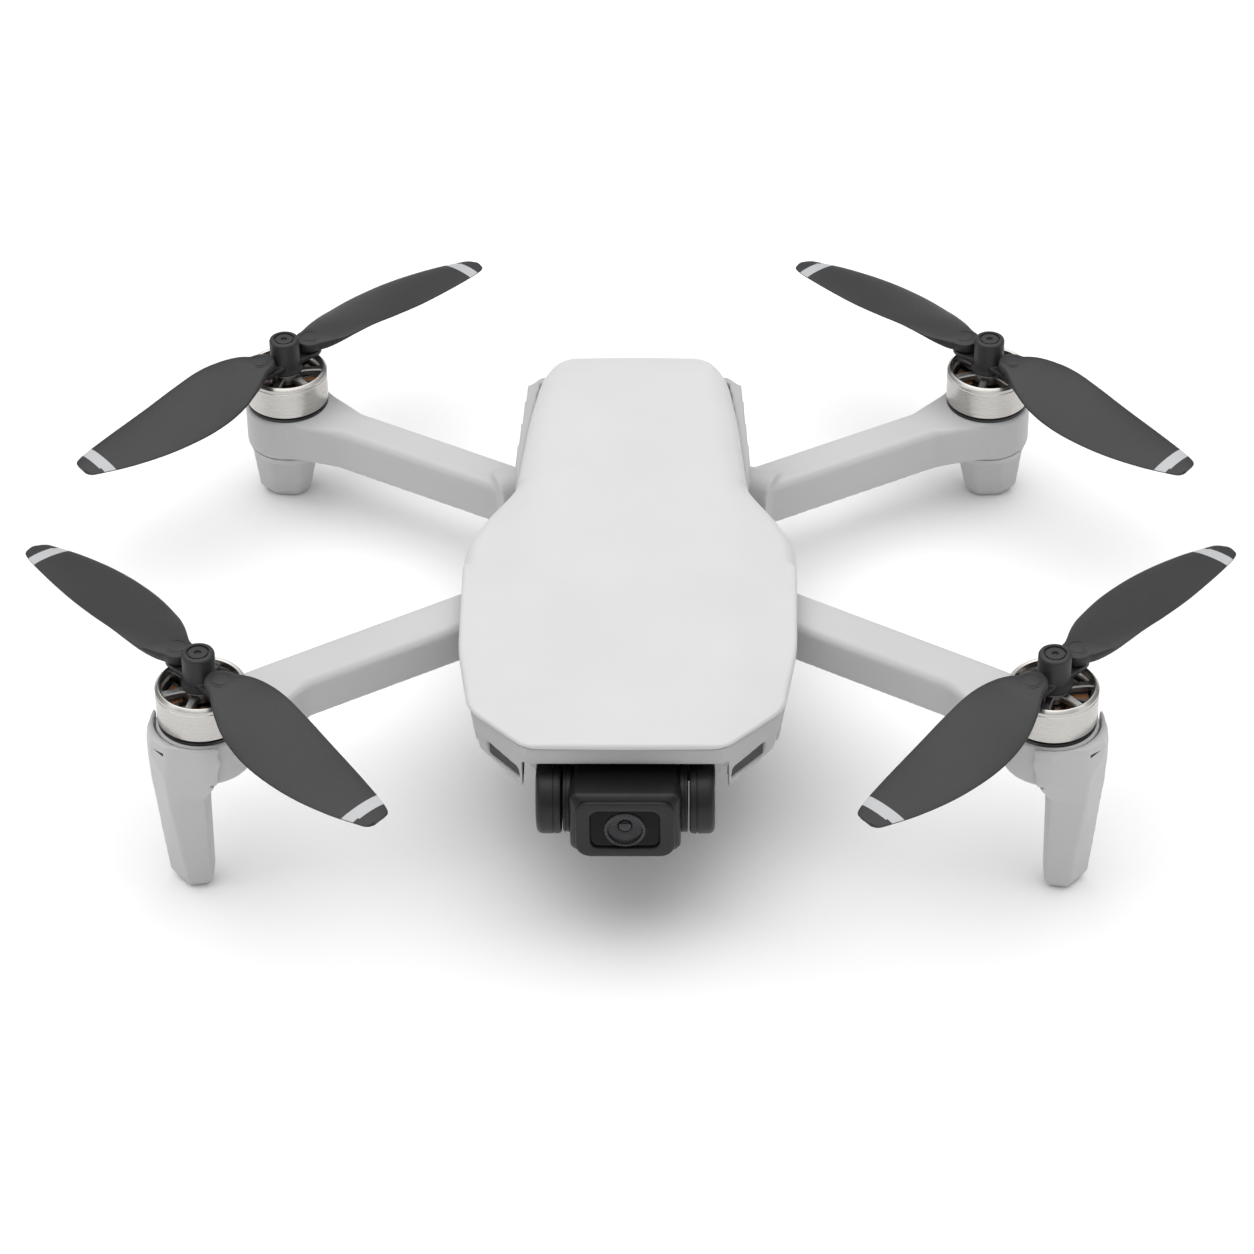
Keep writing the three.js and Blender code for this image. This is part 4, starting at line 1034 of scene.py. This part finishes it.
def makeFrontFrame():
    front = eye["front"]
    width, height, radius = eye["frame"]
    winWidth, winHeight, winRadius = eye["window"]
    steps = [(width - less, height - less, radius, front - ahead) for less, ahead in eye["frameSteps"]]
    steps += [(winWidth + more, winHeight + more, winRadius + rounder, front - ahead)
              for more, rounder, ahead in eye["rebateSteps"]]
    points, faces = ringSkin([roundedRectangle(*step) for step in steps])
    mesh = carve(meshOf("cameraFrame", points, faces), [boreTool()])
    surround = newPiece("camera_front_frame", mesh, finishes["gimbal_plastic"], 30)
    fit(surround, "camera", "gimbal_plastic", "camera_bezel")
    steps = [(winWidth - less, winHeight - less, winRadius, front - ahead)
             for less, ahead in eye["paneSteps"]]
    points, faces = ringSkin([roundedRectangle(*step) for step in steps])
    mesh = carve(meshOf("cameraWindow", points, faces), [boreTool()])
    fit(newPiece("camera_window", mesh, windowFinish, 30), "camera", "gimbal_plastic")


def makeLens():
    centre = Vector((0, eye["front"], eye["centreZ"])) * mm
    rings = [(0, eye["lensFloor"][1]), eye["lensFloor"]]
    for step in range(eye["ringCount"]):
        radius = eye["ringStart"][0] + step * eye["ringStep"][0]
        depth = eye["ringStart"][1] + step * eye["ringStep"][1]
        rings += [(radius, depth), (radius + eye["ringWidth"][0], depth + eye["ringWidth"][1])]
    rings += [(eye["lens"] + out, depth) for out, depth in eye["lensRim"]]
    rings.append((0, rings[-1][1]))
    tube = newPiece("lens_rings", lathed("lensRings", rings, centre, "Y", 96), lensTrimFinish, 25)
    fit(tube, "camera", "gimbal_plastic", "lens_barrel")
    radius, height = eye["glassRadius"], eye["glassHeight"]
    dome = [(0, eye["glassBack"]), (radius, eye["glassBack"])]
    for degrees in range(0, 90, 9):
        angle = math.radians(degrees)
        dome.append((radius * math.cos(angle), eye["glassBase"] - height * math.sin(angle)))
    dome.append((0, eye["glassBase"] - height))
    form = lathed("lensDome", dome, centre, "Y", 72)
    glass = newPiece("lens_front_glass", form, finishes["lens_glass"], 60)
    fit(glass, "camera", "lens_glass", "lens_glass")


def makeTiltDisc(side, sign):
    hinge = Vector((0, eye["hingeY"], eye["centreZ"])) * mm
    profile = [(radius, sign * distance) for radius, distance in eye["discProfile"]]
    form = lathed("tiltDisc", profile, hinge, "X", 96)
    fit(newPiece(f"tilt_disc_{side}", form, finishes["gimbal_plastic"], 30), "camera", "gimbal_plastic")


drum = {
    "radius": 7.5,
    "inner": 12.7,
    "outer": 17.8,
    # distance inside the drum's radius, then the distance from its inner end
    "inside": [(0.7, 0), (0.2, 0.2), (0, 0.7), (0, 1.35), (0.2, 1.42), (0.2, 1.62), (0, 1.7)],
    # distance inside the drum's radius, then the distance from its outer end
    "outside": [(0, 1.3), (0.15, 0.75), (0.55, 0.3), (1.2, 0.06), (1.9, 0), (2.2, 0.12), (2.4, 0.12),
                (2.7, 0)],
}


def makeDrum(node, sign):
    low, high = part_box(node)
    centre = Vector((0, (low[1] + high[1]) / 2, (low[2] + high[2]) / 2))
    radius, inner, outer = drum["radius"], drum["inner"], drum["outer"]
    half = [(0, inner)]
    half += [(radius - less, inner + along) for less, along in drum["inside"]]
    half += [(radius - less, outer - along) for less, along in drum["outside"]]
    half.append((0, outer))
    profile = [(reach, sign * distance) for reach, distance in half]
    form = lathed("tiltDrum", profile, centre, "X", 112)
    piece = newPiece(f"{node}_drum", form, finishes["gimbal_plastic"], 30)
    fit(piece, "gimbal_roll_stage", "gimbal_plastic", node)


lensTrimFinish = mouldedPlastic("lensTrim", (0.02, 0.02, 0.023), 0.25, gloss=0.4)
windowFinish = mouldedPlastic("windowGloss", (0.004, 0.004, 0.0045), 0.1, grain=900,
                              depth=0.000002, strength=0.03, gloss=0.12)
makeFrontFrame()
makeLens()
makeTiltDisc("right", 1)
makeTiltDisc("left", -1)
softened("camera_body", bodySoft, cuts=[boreTool()])
softened("gimbal_fork", gimbalSoft)
softened("gimbal_yaw_arm", gimbalSoft)
makeDrum("gimbal_tilt_motor", -1)
makeDrum("gimbal_tilt_bearing", 1)

print("stage: floor")
floorSize = 6.0


def layFloor(size):
    mesh = bpy.data.meshes.new("studioFloor")
    half = size / 2
    corners = [(-half, -half, 0), (half, -half, 0), (half, half, 0), (-half, half, 0)]
    mesh.from_pydata(corners, [], [(0, 1, 2, 3)])
    floor = bpy.data.objects.new("studioFloor", mesh)
    bpy.context.collection.objects.link(floor)
    mesh.materials.append(newMaterial("floorWhite", (0.96, 0.96, 0.96), 0.95))


layFloor(floorSize)
